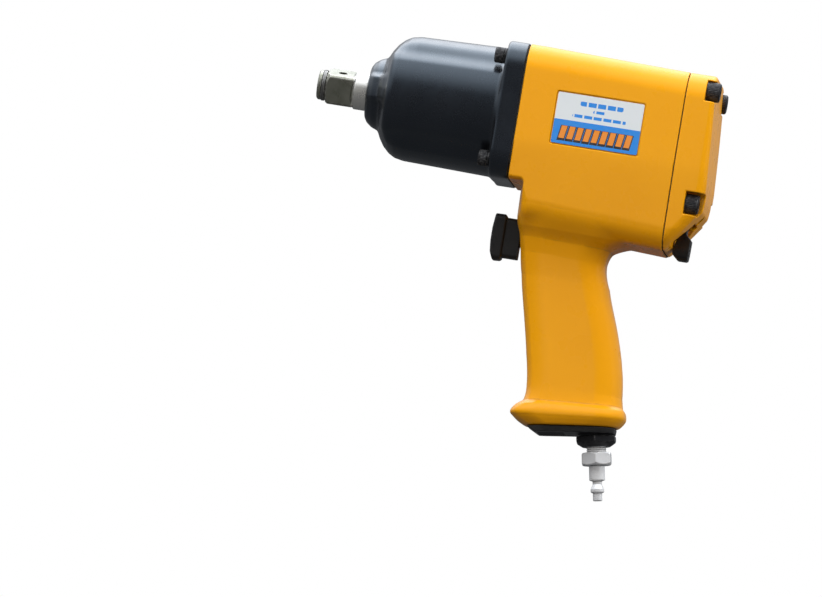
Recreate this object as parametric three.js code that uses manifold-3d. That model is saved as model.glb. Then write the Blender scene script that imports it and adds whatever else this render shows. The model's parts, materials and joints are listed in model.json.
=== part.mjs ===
// Air impact wrench with a three-quarter inch square drive, in millimetres.
// The origin is the centre of the drive's end face. The drive points to -X, the motor is towards +X,
// the handle hangs towards -Z, and the name plate is on the -Y side.
import * as THREE from 'three';
import { LoftGeometry } from 'three/addons/geometries/LoftGeometry.js';
import { mergeVertices } from 'three/addons/utils/BufferGeometryUtils.js';
import Module from 'manifold-3d';

// Driving dimensions. Stations are distances along X from the drive's end face.
const GAP = 0.3; // between pieces that rest on or in each other
const ROUND = 28; // sides of a large round
const MOTOR_ROUND = 32; // sides of the motor's bore and of what fits it

const DRIVE_FLATS = 19.05; // three-quarter inch square
const DRIVE_CORNER_RADIUS = 12.5; // the square's corners are turned to this radius
const SQUARE_START = 5.8;
const SQUARE_END = 23.3;
const DRIVE_TURN = THREE.MathUtils.degToRad(20); // how far the square is turned at rest
const SHAFT_RADIUS = 12;

const NOSE_FACE = 32;
const BUSHING_START = 35;
const CASE_BORE_START = 59.5;
const CASE_BORE_RADIUS = 33.5;
const FLANGE_START = 116.8;
const CASE_END = 129.5;
const HALF_SIZE = 43; // of the square flange and of the motor housing's front
const CORNER_RADIUS = 17;

const HOUSING_START = 130.5;
const HOUSING_END = 231.1;
const MOTOR_BORE_RADIUS = 36.3;
const KEEL_START = 137.2; // where the housing steps down below the round of the motor
const COVER_START = 231.9;

const CAGE_START = 65;
const CAGE_END = 106;
const CAGE_RADIUS = 32;
const CAGE_PLATE = 5;
const HAMMER_LENGTH = 14;
const HAMMER_PIN_RADIUS = 4;
const HAMMER_PIN_OFFSET = 24.5; // from the drive axis to each pin
const LOBE_RADIUS = 14.8;

const ROTOR_START = 137.1;
const ROTOR_END = 196.5;
const ROTOR_RADIUS = 27;
const CYLINDER_RADIUS = 30;
const CYLINDER_OFFSET = 2.5; // the cylinder's bore is this far above the rotor's axis
const JOURNAL_RADIUS = 8.4;
const VANES = 6;
const BEARING_BORE = 8.7;
const BEARING_OUTSIDE = 17.3;
const BEARING_WIDTH = 9.4;
const BALLS = 6;

const LUG_BOTTOM = -5.7; // of the lug on each side of the nose
const LUG_HEIGHT = 14.5;
const FRONT_SCREW_OFFSET = 32.5; // from the drive axis, along Y and along Z
const FRONT_SCREW_RADIUS = 3;
const REAR_SCREW_RADIUS = 4;
const REAR_SCREW_SIDE = 33;
const REAR_SCREW_TOP = 30;
const REAR_SCREW_BOTTOM = -41;
const REAR_HEAD_LENGTH = 8.6;
const REAR_HEAD_START = 243.6; // of the two upper screws
const REAR_LOWER_SHIFT = -2; // the two lower screws sit this much further forward

const TRIGGER_HEIGHT = -77; // height of the trigger's axis
const TRIGGER_TRAVEL = 6;
const TRIGGER_BODY_END = 141;
const POCKET_END = TRIGGER_BODY_END + TRIGGER_TRAVEL + 0.6; // of the pocket that the trigger slides in
const SEAT_START = 164.2; // where the throttle valve's seat begins
const VALVE_HEIGHT = -48; // height of the reverse valve's axis
const DETENT_HEIGHT = -61; // height of the reverse lever's detent ball
const PASSAGE_HEIGHT = -52; // height of the air passage from the throttle to the reverse valve
const INLET = new THREE.Vector3(208.1, 0, -192.9); // on the inlet's axis, near the handle's base
const INLET_DIRECTION = new THREE.Vector3(0.187, 0, -0.982).normalize();

const wasm = await Module();
wasm.setup();

const group = new THREE.Group();

const finishes = {
  yellow_paint: { color: 0xf2a71b, roughness: 0.35, metalness: 0 },
  black_enamel: { color: 0x1b1c20, roughness: 0.3, metalness: 0.2 },
  black_oxide: { color: 0x161718, roughness: 0.5, metalness: 0.6 },
  black_plastic: { color: 0x18181a, roughness: 0.55, metalness: 0 },
  polished_steel: { color: 0xb9b8b2, roughness: 0.22, metalness: 1 },
  dark_steel: { color: 0x5c5d5c, roughness: 0.4, metalness: 1 },
  nickel: { color: 0xd6d8da, roughness: 0.15, metalness: 1 },
  bronze: { color: 0xa8824a, roughness: 0.4, metalness: 1 },
  gasket_paper: { color: 0x4d4a40, roughness: 0.9, metalness: 0 },
  rubber: { color: 0x101010, roughness: 0.8, metalness: 0 },
  printed_label: { color: 0xdde3e6, roughness: 0.35, metalness: 0 },
  vane_laminate: { color: 0x6b4a2c, roughness: 0.6, metalness: 0 },
};

const range = (count) => Array.from({ length: count }, (_, index) => index);

// A closed geometry as a solid, with its faces pointing out.
function toSolid(geometry) {
  const bare = geometry.index ? geometry.toNonIndexed() : geometry.clone();
  bare.deleteAttribute('normal');
  bare.deleteAttribute('uv');
  const welded = mergeVertices(bare, 1e-3);
  const vertProperties = welded.attributes.position.array;
  const triVerts = new Uint32Array(welded.index.array);
  const solid = new wasm.Manifold(new wasm.Mesh({ numProp: 3, vertProperties, triVerts }));
  if (solid.volume() > 0) return solid;
  const turnedOut = new Uint32Array(triVerts).reverse();
  return new wasm.Manifold(new wasm.Mesh({ numProp: 3, vertProperties, triVerts: turnedOut }));
}

function toGeometry(solid) {
  const mesh = solid.getMesh();
  const geometry = new THREE.BufferGeometry();
  geometry.setAttribute('position', new THREE.BufferAttribute(mesh.vertProperties, 3));
  geometry.setIndex(new THREE.BufferAttribute(mesh.triVerts, 1));
  return geometry;
}

const join = (...geometries) => geometries
  .map(toSolid)
  .reduce((whole, part) => whole.add(part));

const cut = (solid, ...geometries) => geometries
  .map(toSolid)
  .reduce((rest, tool) => rest.subtract(tool), solid);

// Adds a named piece to the wrench. The shape is a geometry or a solid.
function piece(name, shape, finish) {
  const geometry = toGeometry(shape.isBufferGeometry ? toSolid(shape) : shape);
  geometry.computeVertexNormals();
  const mesh = new THREE.Mesh(geometry, new THREE.MeshStandardMaterial(finishes[finish]));
  mesh.name = name;
  group.add(mesh);
  return mesh;
}

// A turned shape about the X axis, from a profile of [x, radius] points.
function turned(profile, sides = ROUND) {
  const points = profile.map(([x, radius]) => new THREE.Vector2(radius, x));
  return new THREE.LatheGeometry(points, sides).rotateZ(-Math.PI / 2);
}

const rod = (start, end, radius, sides = ROUND) => turned(
  [[start, 0], [start, radius], [end, radius], [end, 0]], sides);

const tube = (start, end, inner, outer, sides = ROUND) => turned(
  [[start, inner], [start, outer], [end, outer], [end, inner], [start, inner]], sides);

// Points a shape made about the X axis along another direction, with its zero at a place.
function aimed(geometry, place, direction) {
  const turn = new THREE.Quaternion().setFromUnitVectors(new THREE.Vector3(1, 0, 0), direction);
  return geometry.applyMatrix4(new THREE.Matrix4().compose(place, turn, new THREE.Vector3(1, 1, 1)));
}

// A rod between two places.
function rodBetween(from, to, radius, sides = 12) {
  const span = to.clone().sub(from);
  return aimed(rod(0, span.length(), radius, sides), from, span.normalize());
}

function block(x0, x1, y0, y1, z0, z1) {
  return new THREE.BoxGeometry(x1 - x0, y1 - y0, z1 - z0)
    .translate((x0 + x1) / 2, (y0 + y1) / 2, (z0 + z1) / 2);
}

// A plate with its outline drawn in Y and Z, from one X to another.
function crossPlate(shape, start, end, curveSegments = 8) {
  const settings = { depth: end - start, bevelEnabled: false, curveSegments };
  const plate = new THREE.ExtrudeGeometry(shape, settings);
  const axes = new THREE.Matrix4().makeBasis(
    new THREE.Vector3(0, 1, 0), new THREE.Vector3(0, 0, 1), new THREE.Vector3(1, 0, 0));
  return plate.applyMatrix4(axes).translate(start, 0, 0);
}

// A plate with its outline drawn in X and Z, centred on Y unless it is moved.
function sidePlate(shape, thickness, curveSegments = 6) {
  const settings = { depth: thickness, bevelEnabled: false, curveSegments };
  const plate = new THREE.ExtrudeGeometry(shape, settings);
  const axes = new THREE.Matrix4().makeBasis(
    new THREE.Vector3(1, 0, 0), new THREE.Vector3(0, 0, 1), new THREE.Vector3(0, -1, 0));
  return plate.applyMatrix4(axes).translate(0, thickness / 2, 0);
}

const outline = (points) => new THREE.Shape(
  points.map(([across, up]) => new THREE.Vector2(across, up)));

const circle = (across, up, radius) => new THREE.Shape().absarc(across, up, radius, 0, 2 * Math.PI);

function roundedRectangle(left, right, low, high, radius) {
  const shape = new THREE.Shape();
  shape.absarc(right - radius, high - radius, radius, 0, Math.PI / 2);
  shape.absarc(left + radius, high - radius, radius, Math.PI / 2, Math.PI);
  shape.absarc(left + radius, low + radius, radius, Math.PI, 1.5 * Math.PI);
  shape.absarc(right - radius, low + radius, radius, 1.5 * Math.PI, 2 * Math.PI);
  return shape;
}

// A hexagon about the X axis, with a corner towards -Y.
const hexagon = (start, end, flats) => rod(start, end, flats / Math.sqrt(3), 6).rotateX(Math.PI / 2);

const loft = (sections) => new LoftGeometry(sections, { capStart: true, capEnd: true });

const corner = (across, up, radius, quarter, steps) => range(steps + 1).map((step) => {
  const angle = (quarter + step / steps) * Math.PI / 2;
  return new THREE.Vector2(across + radius * Math.cos(angle), up + radius * Math.sin(angle));
});

// A rounded square section at one X.
function squareSection(x, half, radius, steps = 4) {
  const inset = half - radius;
  return [
    ...corner(inset, inset, radius, 0, steps),
    ...corner(-inset, inset, radius, 1, steps),
    ...corner(-inset, -inset, radius, 2, steps),
    ...corner(inset, -inset, radius, 3, steps),
  ].map((point) => new THREE.Vector3(x, point.x, point.y));
}

// The housing's deep section: upright sides that lean in below the waist to a narrower bottom.
const WAIST_HEIGHT = -20;
const BOTTOM_HALF_WIDTH = 38.5;
const BOTTOM_RADIUS = 15;
function deepSection(x, half, top, bottom, shrink = 0) {
  const upper = CORNER_RADIUS;
  const lowHalf = BOTTOM_HALF_WIDTH - shrink;
  const waist = Math.max(WAIST_HEIGHT, bottom + BOTTOM_RADIUS + 4);
  return [
    ...corner(half - upper, top - upper, upper, 0, 4),
    ...corner(upper - half, top - upper, upper, 1, 4),
    new THREE.Vector2(-half, waist),
    ...corner(BOTTOM_RADIUS - lowHalf, bottom + BOTTOM_RADIUS, BOTTOM_RADIUS, 2, 4),
    ...corner(lowHalf - BOTTOM_RADIUS, bottom + BOTTOM_RADIUS, BOTTOM_RADIUS, 3, 4),
    new THREE.Vector2(half, waist),
  ].map((point) => new THREE.Vector3(x, point.x, point.y));
}

// One round wire wound about the X axis, with flat ends left open.
function coilSpring(start, end, radius, wireRadius, turns, stepsPerTurn) {
  const steps = turns * stepsPerTurn;
  const sections = range(steps + 1).map((step) => {
    const angle = 2 * Math.PI * step / stepsPerTurn;
    const x = start + wireRadius + (end - start - 2 * wireRadius) * step / steps;
    return range(5).map((side) => {
      const around = -2 * Math.PI * side / 5;
      const reach = radius + wireRadius * Math.cos(around);
      const place = x + wireRadius * Math.sin(around);
      return new THREE.Vector3(place, reach * Math.cos(angle), reach * Math.sin(angle));
    });
  });
  return loft(sections);
}

// Socket head cap screw along X, with its hexagon socket at the head's outer end.
// towards is 1 when the shank points to +X and -1 when it points to -X.
function capScrew(headStart, headLength, headRadius, shankLength, shankRadius, towards) {
  const along = (distance) => headStart + towards * distance;
  const bevel = 0.12 * headRadius;
  const body = turned([
    [along(0), 0], [along(0), headRadius - bevel], [along(bevel), headRadius],
    [along(headLength), headRadius], [along(headLength), shankRadius],
    [along(headLength + shankLength), shankRadius], [along(headLength + shankLength), 0],
  ], 12);
  const ends = [along(-1), along(0.55 * headLength)].sort((low, high) => low - high);
  return cut(toSolid(body), hexagon(ends[0], ends[1], headRadius));
}

// ---------------------------------------------------------------- drive and hammers

const ANVIL_FLANGE_START = CASE_BORE_START + 1;
const HAMMERS_START = CAGE_START + CAGE_PLATE + 0.5;
const HAMMERS_END = HAMMERS_START + 2 * HAMMER_LENGTH + 0.7;
const GROOVE_START = 2.5;
const GROOVE_END = 5.3;
const GROOVE_RADIUS = 7.2;
const DRIVE_NECK_RADIUS = 9.3;

function anvilShape() {
  const half = DRIVE_FLATS / 2;
  const tip = turned([
    [0, 0], [0, 8.4], [0.9, DRIVE_NECK_RADIUS], [GROOVE_START, DRIVE_NECK_RADIUS],
    [GROOVE_START, GROOVE_RADIUS], [GROOVE_END, GROOVE_RADIUS], [GROOVE_END, DRIVE_NECK_RADIUS],
    [SQUARE_START + 1, DRIVE_NECK_RADIUS], [SQUARE_START + 1, 0],
  ], 24);
  const square = toSolid(block(SQUARE_START, SQUARE_END, -half, half, -half, half))
    .intersect(toSolid(turned([
      [SQUARE_START, 0], [SQUARE_START, 10.4], [SQUARE_START + 1.8, DRIVE_CORNER_RADIUS],
      [SQUARE_END, DRIVE_CORNER_RADIUS], [SQUARE_END, 0],
    ])));
  const shaft = turned([
    [SQUARE_END - 1, 0], [SQUARE_END - 1, 10], [SQUARE_END + 0.6, SHAFT_RADIUS],
    [ANVIL_FLANGE_START, SHAFT_RADIUS], [ANVIL_FLANGE_START, 14.8],
    [CAGE_START - 1, 14.8], [CAGE_START - 1, 11.5],
    [HAMMERS_END - 0.4, 11.5], [HAMMERS_END - 0.4, 6], [CAGE_END - 1, 6], [CAGE_END - 1, 0],
  ], 24);
  const lobe = crossPlate(outline([[-3.2, 0], [3.2, 0], [3.2, LOBE_RADIUS], [-3.2, LOBE_RADIUS]]),
    CAGE_START - 2, HAMMERS_END - 0.6);
  lobe.rotateX(-DRIVE_TURN); // upright at rest, towards the two hammer pins
  const lobes = toSolid(lobe).add(toSolid(lobe.clone().rotateX(Math.PI)))
    .intersect(toSolid(rod(CAGE_START - 2, HAMMERS_END, LOBE_RADIUS)));
  const pinHole = rodBetween(new THREE.Vector3(14.6, 0, -20), new THREE.Vector3(14.6, 0, 20), 2.75);
  return cut(join(tip, shaft).add(square), pinHole).add(lobes);
}

// Ring-shaped hammer about the drive axis, hung on the pin above it and slotted around the pin below.
function hammerShape(start) {
  const end = start + HAMMER_LENGTH;
  const ring = tube(start, end, 16, 24, ROUND);
  const ear = crossPlate(circle(0, HAMMER_PIN_OFFSET, 6.8), start, end, 8);
  const notch = block(start - 1, end + 1, -10.6, 10.6, -30, 4.6 - HAMMER_PIN_OFFSET);
  const bore = rod(start - 1, end + 1, 16);
  const pinCircle = circle(0, HAMMER_PIN_OFFSET, HAMMER_PIN_RADIUS + GAP);
  const pinHole = crossPlate(pinCircle, start - 1, end + 1, 6);
  return cut(join(ring, ear), notch, bore, pinHole);
}

function cageShape() {
  const front = tube(CAGE_START, CAGE_START + CAGE_PLATE, 15.4, CAGE_RADIUS);
  const rear = tube(HAMMERS_END + 0.6, CAGE_END, 6.5, CAGE_RADIUS);
  const hub = tube(CAGE_END - 1, 119, 6.5, 13, 16);
  const webs = toSolid(rod(CAGE_START, CAGE_END, CAGE_RADIUS))
    .subtract(toSolid(block(CAGE_START - 1, CAGE_END + 1, -27.3, 27.3, -40, 40)));
  const pinHoles = [1, -1].map((side) => crossPlate(
    circle(0, side * HAMMER_PIN_OFFSET, HAMMER_PIN_RADIUS + GAP), CAGE_START - 1, CAGE_END + 1, 6));
  return cut(join(front, rear, hub).add(webs), ...pinHoles, hexagon(CAGE_END - 0.5, 120, 13.6));
}

function addHammerMechanism() {
  const anvil = piece('anvil', anvilShape(), 'polished_steel');
  anvil.rotation.x = DRIVE_TURN;
  const softRing = tube(GROOVE_START + 0.4, GROOVE_END - 0.4, GROOVE_RADIUS + 0.25, 8, 20);
  piece('socket_o_ring', softRing, 'rubber');
  const ringGap = block(0, 10, -0.8, 0.8, 0, 15);
  const ring = cut(toSolid(tube(GROOVE_START + GAP, GROOVE_END - GAP, 8.3, 9.7, 20)), ringGap);
  piece('socket_ring', ring, 'dark_steel').rotation.x = DRIVE_TURN;
  piece('anvil_bushing', tube(BUSHING_START, CASE_BORE_START - 1, SHAFT_RADIUS + GAP, 15.5), 'bronze');
  piece('hammer_cage', cageShape(), 'dark_steel');
  piece('hammer_1', hammerShape(HAMMERS_START), 'dark_steel');
  const second = piece('hammer_2', hammerShape(HAMMERS_START + HAMMER_LENGTH + 0.7), 'dark_steel');
  second.rotation.x = Math.PI;
  [1, 2].forEach((number) => {
    const shape = rod(CAGE_START + 0.5, CAGE_END - 0.5, HAMMER_PIN_RADIUS, 16);
    const pin = piece(`hammer_pin_${number}`, shape, 'dark_steel');
    pin.position.z = number === 1 ? HAMMER_PIN_OFFSET : -HAMMER_PIN_OFFSET;
  });
}

// ---------------------------------------------------------------- hammer case

// Shallow valleys run along the case's four diagonals, to reach the screws with a key.
const VALLEY_DEPTH = 1.5;

// A section at one X, from its radius above and below the axis and its radius at the sides.
function caseSection([x, upright, side]) {
  const depth = VALLEY_DEPTH * THREE.MathUtils.smoothstep(upright, 18, 36);
  return range(40).map((index) => {
    const angle = 2 * Math.PI * index / 40;
    const offDiagonal = Math.abs((angle % (Math.PI / 2)) - Math.PI / 4);
    const height = THREE.MathUtils.smoothstep(Math.abs(Math.sin(angle)), 0.62, 0.96);
    const radius = side + (upright - side) * height;
    const reach = radius - depth * Math.max(0, 1 - offDiagonal / 0.27);
    return new THREE.Vector3(x, reach * Math.cos(angle), reach * Math.sin(angle));
  });
}

const frontScrewPlaces = [[-1, 1], [1, 1], [1, -1], [-1, -1]].map(
  ([side, up]) => [side * FRONT_SCREW_OFFSET, up * FRONT_SCREW_OFFSET]);

function hammerCaseShape() {
  const body = loft([
    [NOSE_FACE, 16.2, 16.2], [33.6, 18.9, 18.9], [37, 21.5, 21.5], [40.8, 22.9, 22.9],
    [42, 24.4, 24.8], [43.9, 28.3, 30.9], [46.2, 31.8, 36.7], [47.4, 33.1, 37.9], [50.4, 35.9, 38.7],
    [54.3, 38.1, 39], [60, 39.2, 39.2], [FLANGE_START + 6, 40.9, 40.9],
  ].map(caseSection));
  const flange = loft([
    squareSection(FLANGE_START, HALF_SIZE - 1.6, CORNER_RADIUS - 1.6),
    squareSection(FLANGE_START + 0.7, HALF_SIZE - 0.5, CORNER_RADIUS - 0.5),
    squareSection(FLANGE_START + 2, HALF_SIZE, CORNER_RADIUS),
    squareSection(CASE_END, HALF_SIZE, CORNER_RADIUS),
  ]);
  const lugOutline = outline([
    [33.4, 14], [33.4, 18.3], [36, 22.6], [39.5, 24.6], [43, 29.5], [46, 32], [50, 32], [50, 14],
  ]);
  const lug = new THREE.ExtrudeGeometry(lugOutline, { depth: LUG_HEIGHT, bevelEnabled: false })
    .translate(0, 0, LUG_BOTTOM);
  const farLug = lug.clone().rotateX(Math.PI).translate(0, 0, 2 * LUG_BOTTOM + LUG_HEIGHT);
  const headRooms = frontScrewPlaces.map(
    ([y, z]) => rod(100, FLANGE_START, 6.1, 16).translate(0, y, z));
  const screwHoles = frontScrewPlaces.map(
    ([y, z]) => rod(100, CASE_END + 1, FRONT_SCREW_RADIUS + GAP, 12).translate(0, y, z));
  return cut(
    join(body, flange, lug, farLug),
    ...headRooms,
    ...screwHoles,
    rod(NOSE_FACE - 1, CASE_BORE_START, SHAFT_RADIUS + 0.6),
    rod(BUSHING_START - GAP, CASE_BORE_START + 1, 15.8),
    rod(CASE_BORE_START, CASE_END + 1, CASE_BORE_RADIUS),
  );
}

function addHammerCase() {
  piece('hammer_case', hammerCaseShape(), 'black_enamel');
  frontScrewPlaces.forEach(([y, z], index) => {
    const screw = capScrew(109.4, 5.7, 5, 32, FRONT_SCREW_RADIUS, 1);
    piece(`front_screw_${index + 1}`, screw, 'black_oxide').position.set(0, y, z);
    const washer = cut(toSolid(tube(FLANGE_START - 1.5, FLANGE_START - 0.2, 3.25, 4.9, 12)),
      block(FLANGE_START - 3, FLANGE_START + 1, -0.6, 0.6, 0, 8));
    piece(`front_washer_${index + 1}`, washer, 'black_oxide').position.set(0, y, z);
  });
}

function gasketShape(section, start, end) {
  const edge = section.map((point) => new THREE.Vector2(point.y, point.z));
  return toSolid(crossPlate(new THREE.Shape(edge), start, end));
}

// ---------------------------------------------------------------- motor housing and handle

const housingHalf = (x) => HALF_SIZE - 0.9 * (x - HOUSING_START) / (HOUSING_END - HOUSING_START);
const housingTop = (x) => HALF_SIZE + 0.1 - 2.4 * (x - HOUSING_START) / (HOUSING_END - HOUSING_START);
const housingBottom = (x) => -67.5 - 4.2 * Math.max(0, (x - 150) / (HOUSING_END - 150));

// One level of the handle, from its front edge to its rear edge, each given as [x, z].
// Levels are lofted from the top down.
function handleSection([frontX, frontZ], [rearX, rearZ], half, frontRadius, rearRadius) {
  const length = Math.hypot(rearX - frontX, rearZ - frontZ);
  const along = (distance, y) => new THREE.Vector3(
    frontX + (rearX - frontX) * distance / length, y, frontZ + (rearZ - frontZ) * distance / length);
  return [
    ...corner(length - rearRadius, half - rearRadius, rearRadius, 0, 3),
    ...corner(frontRadius, half - frontRadius, frontRadius, 1, 3),
    ...corner(frontRadius, frontRadius - half, frontRadius, 2, 3),
    ...corner(length - rearRadius, rearRadius - half, rearRadius, 3, 3),
  ].map((point) => along(point.x, point.y)).reverse();
}

const BASE_FRONT = [163, -191.2];
const BASE_REAR = [220.6, -183.9];
const handleShape = () => loft([
  handleSection([137.4, -50], [212, -50], 22, 12, 16),
  handleSection([138.1, -69], [207, -70.5], 20.5, 12, 16),
  handleSection([139.3, -75], [198, -76.5], 19.8, 12, 15),
  handleSection([141.5, -84], [196, -86], 19.2, 12, 15),
  handleSection([145.1, -98], [200.3, -99], 18.8, 12, 15),
  handleSection([151, -122], [209.8, -122.5], 18.6, 12, 15),
  handleSection([157, -147], [217.4, -146.6], 18.8, 12, 15),
  handleSection([160.6, -166], [220.1, -165.5], 19.2, 12, 15),
  handleSection([160.2, -175.5], [221, -171.2], 20, 12, 15),
  handleSection([155.6, -178.8], [223.2, -173.4], 22.6, 13, 16),
  handleSection([152.5, -183], [224.1, -176.6], 24.2, 14, 17),
  handleSection([153.2, -186.3], [223.9, -179.4], 24, 14, 17),
  handleSection(BASE_FRONT, BASE_REAR, 20.5, 13, 16),
]);

const labelPlate = { start: 153.2, end: 207.5, low: -17.1, high: 14.9 };
const LABEL_FLOOR = -41.6;

function inletRod(from, to, radius, sides = 24) {
  return aimed(rod(from, to, radius, sides), INLET, INLET_DIRECTION);
}

// Each rear screw's Y and Z, and the X where its head starts.
const REAR_LOWER_START = REAR_HEAD_START + REAR_LOWER_SHIFT;
const rearScrewPlaces = [
  [-REAR_SCREW_SIDE, REAR_SCREW_TOP, REAR_HEAD_START],
  [REAR_SCREW_SIDE, REAR_SCREW_TOP, REAR_HEAD_START],
  [REAR_SCREW_SIDE, REAR_SCREW_BOTTOM, REAR_LOWER_START],
  [-REAR_SCREW_SIDE, REAR_SCREW_BOTTOM, REAR_LOWER_START],
];

function housingShape() {
  const collar = loft([
    squareSection(HOUSING_START, HALF_SIZE - 0.5, CORNER_RADIUS - 0.5),
    squareSection(HOUSING_START + 0.6, HALF_SIZE, CORNER_RADIUS),
    squareSection(KEEL_START + 5, housingHalf(KEEL_START + 5), CORNER_RADIUS),
  ]);
  const deep = (x, rise = 0) => deepSection(x, housingHalf(x), housingTop(x), housingBottom(x) + rise);
  const body = loft([
    deep(KEEL_START, 3), deep(KEEL_START + 1.2, 0.6), deep(150), deep(190), deep(HOUSING_END),
  ]);
  const bore = rod(HOUSING_START - 1, HOUSING_END + 1, MOTOR_BORE_RADIUS, MOTOR_ROUND);
  const frontHoles = frontScrewPlaces.map(
    ([y, z]) => rod(HOUSING_START - 1, 149, FRONT_SCREW_RADIUS + GAP, 12).translate(0, y, z));
  const rearHoles = rearScrewPlaces.map(
    ([y, z]) => rod(212, HOUSING_END + 1, REAR_SCREW_RADIUS + GAP, 12).translate(0, y, z));
  const recess = block(labelPlate.start - 0.8, labelPlate.end + 0.8, -60, LABEL_FLOOR,
    labelPlate.low - 0.8, labelPlate.high + 0.8);
  const triggerPocket = crossPlate(roundedRectangle(-6.5, 6.5, -90, -64, 3), 130, POCKET_END, 3);
  const triggerBore = rod(145, 165, 8.3, 16).translate(0, 0, TRIGGER_HEIGHT);
  const valveChamber = rod(163.9, 188.8, 9.3, 16).translate(0, 0, TRIGGER_HEIGHT);
  const riser = rodBetween(
    new THREE.Vector3(160, 0, TRIGGER_HEIGHT), new THREE.Vector3(160, 0, PASSAGE_HEIGHT), 3.6);
  const passage = rod(156, 216, 4.3, 12).translate(0, 0, PASSAGE_HEIGHT);
  const reverseBore = rod(212, HOUSING_END + 1, 7.4, 16).translate(0, 0, VALVE_HEIGHT);
  const detentBore = rod(224.5, HOUSING_END + 1, 2.2, 12).translate(0, 0, DETENT_HEIGHT);
  const supply = rodBetween(new THREE.Vector3(203.5, 0, -172), new THREE.Vector3(179, 0, -82), 7);
  const exhaustPocket = loft([
    handleSection([157, -112], [173, -112], 11, 5, 5),
    handleSection([163, -150], [183, -149], 12, 5, 5),
    handleSection([167.5, -196], [188.5, -193.4], 13, 5, 5),
  ]);
  const exhaustPorts = [-1, 1].map((side) => rodBetween(
    new THREE.Vector3(166, side * 9, -116), new THREE.Vector3(164, side * 13.5, -30), 3.4, 8));
  return cut(
    join(collar, body, handleShape()),
    bore, ...frontHoles, ...rearHoles, recess, triggerPocket, triggerBore, valveChamber, riser, passage,
    reverseBore, detentBore, supply, inletRod(-29, 10, 10.8), exhaustPocket, ...exhaustPorts,
  );
}

function addHousing() {
  piece('motor_housing', housingShape(), 'yellow_paint');
  const label = block(labelPlate.start, labelPlate.end, LABEL_FLOOR - 0.75, LABEL_FLOOR - GAP,
    labelPlate.low, labelPlate.high);
  piece('name_plate', label, 'printed_label');
  const frontGasket = cut(
    gasketShape(squareSection(0, HALF_SIZE - 0.4, CORNER_RADIUS), CASE_END + 0.2, HOUSING_START - 0.2),
    rod(120, 140, MOTOR_BORE_RADIUS + 0.4, MOTOR_ROUND),
    ...frontScrewPlaces.map(([y, z]) => rod(120, 140, 3.4, 8).translate(0, y, z)));
  piece('front_gasket', frontGasket, 'gasket_paper');
}

// ---------------------------------------------------------------- back cover and reverse valve

const LEVER_POCKET_START = 236;
const LEVER_POCKET_END = 247.6;

function coverShape() {
  const side = outline([
    [COVER_START, 50], [248.8, 50], [249.2, 35], [251.6, 0], [253.2, -28], [253.2, -38], [252.5, -44.5],
    [238.6, -64], [235.8, -69.2], [235.8, -80], [COVER_START, -80],
  ]);
  const bottom = housingBottom(HOUSING_END);
  const half = housingHalf(HOUSING_END);
  const top = housingTop(HOUSING_END);
  const rounded = loft([
    deepSection(COVER_START, half, top, bottom),
    deepSection(243.5, half - 0.2, top - 0.3, bottom),
    deepSection(247.5, half - 1.4, top - 1.2, bottom + 1.6, 1.4),
    deepSection(251, half - 4, top - 4.5, bottom + 4, 3.8),
    deepSection(254, half - 8.5, top - 10, bottom + 8, 8),
  ]);
  const spigot = tube(203.7, COVER_START + 1, 26, 35.9, MOTOR_ROUND);
  const notches = rearScrewPlaces.map(([y, z, headStart]) => {
    const inner = Math.abs(y) - 6.9;
    const reach = z > 0 ? 6.6 : 7.1;
    return y > 0
      ? block(headStart - 0.2, 260, inner, 50, z - reach, z + reach)
      : block(headStart - 0.2, 260, -50, -inner, z - reach, z + reach);
  });
  const screwHoles = rearScrewPlaces.map(
    ([y, z]) => rod(COVER_START - 1, 260, REAR_SCREW_RADIUS + GAP, 12).translate(0, y, z));
  const swing = THREE.MathUtils.degToRad(57);
  const sector = new THREE.Shape();
  sector.moveTo(0, VALVE_HEIGHT + 4);
  sector.lineTo(-38 * Math.sin(swing), VALVE_HEIGHT - 38 * Math.cos(swing));
  sector.absarc(0, VALVE_HEIGHT, 38, -Math.PI / 2 - swing, -Math.PI / 2 + swing);
  const pocket = crossPlate(sector, LEVER_POCKET_START, LEVER_POCKET_END);
  const hubRoom = rod(LEVER_POCKET_START, LEVER_POCKET_END, 13.2, 24).translate(0, 0, VALVE_HEIGHT);
  return cut(
    toSolid(rounded).intersect(toSolid(sidePlate(side, 100))).add(toSolid(spigot)),
    ...notches, ...screwHoles, pocket, hubRoom,
    rod(COVER_START - 2, LEVER_POCKET_START + 1, 7.4, 16).translate(0, 0, VALVE_HEIGHT),
    rod(COVER_START - 2, LEVER_POCKET_START + 1, 2.2, 12).translate(0, 0, DETENT_HEIGHT),
    rod(LEVER_POCKET_END - 1, 260, 4, 12).translate(0, 0, VALVE_HEIGHT),
  );
}

function leverShape() {
  const side = outline([
    [237.6, -39.5], [243.2, -39.5], [243.4, -57.6], [246.9, -61], [246.5, -73.6], [245.4, -74.6],
    [240.4, -74.6], [236.4, -71], [236.4, -67.6], [237.6, -62.5],
  ]);
  const face = new THREE.Shape();
  face.absarc(0, VALVE_HEIGHT, 8.4, -0.6, Math.PI + 0.6);
  face.lineTo(-5.6, VALVE_HEIGHT - 9);
  face.lineTo(-8, VALVE_HEIGHT - 20);
  face.quadraticCurveTo(-8, -74.7, -3, -74.7);
  face.lineTo(3, -74.7);
  face.quadraticCurveTo(8, -74.7, 8, VALVE_HEIGHT - 20);
  face.lineTo(5.6, VALVE_HEIGHT - 9);
  const solid = toSolid(sidePlate(side, 30)).intersect(toSolid(crossPlate(face, 230, 250)));
  return cut(solid,
    rod(230, 250, 2.4, 12).translate(0, 0, VALVE_HEIGHT),
    rod(236.6, 238.2, 1.8, 10).translate(0, 0, DETENT_HEIGHT));
}

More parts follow.
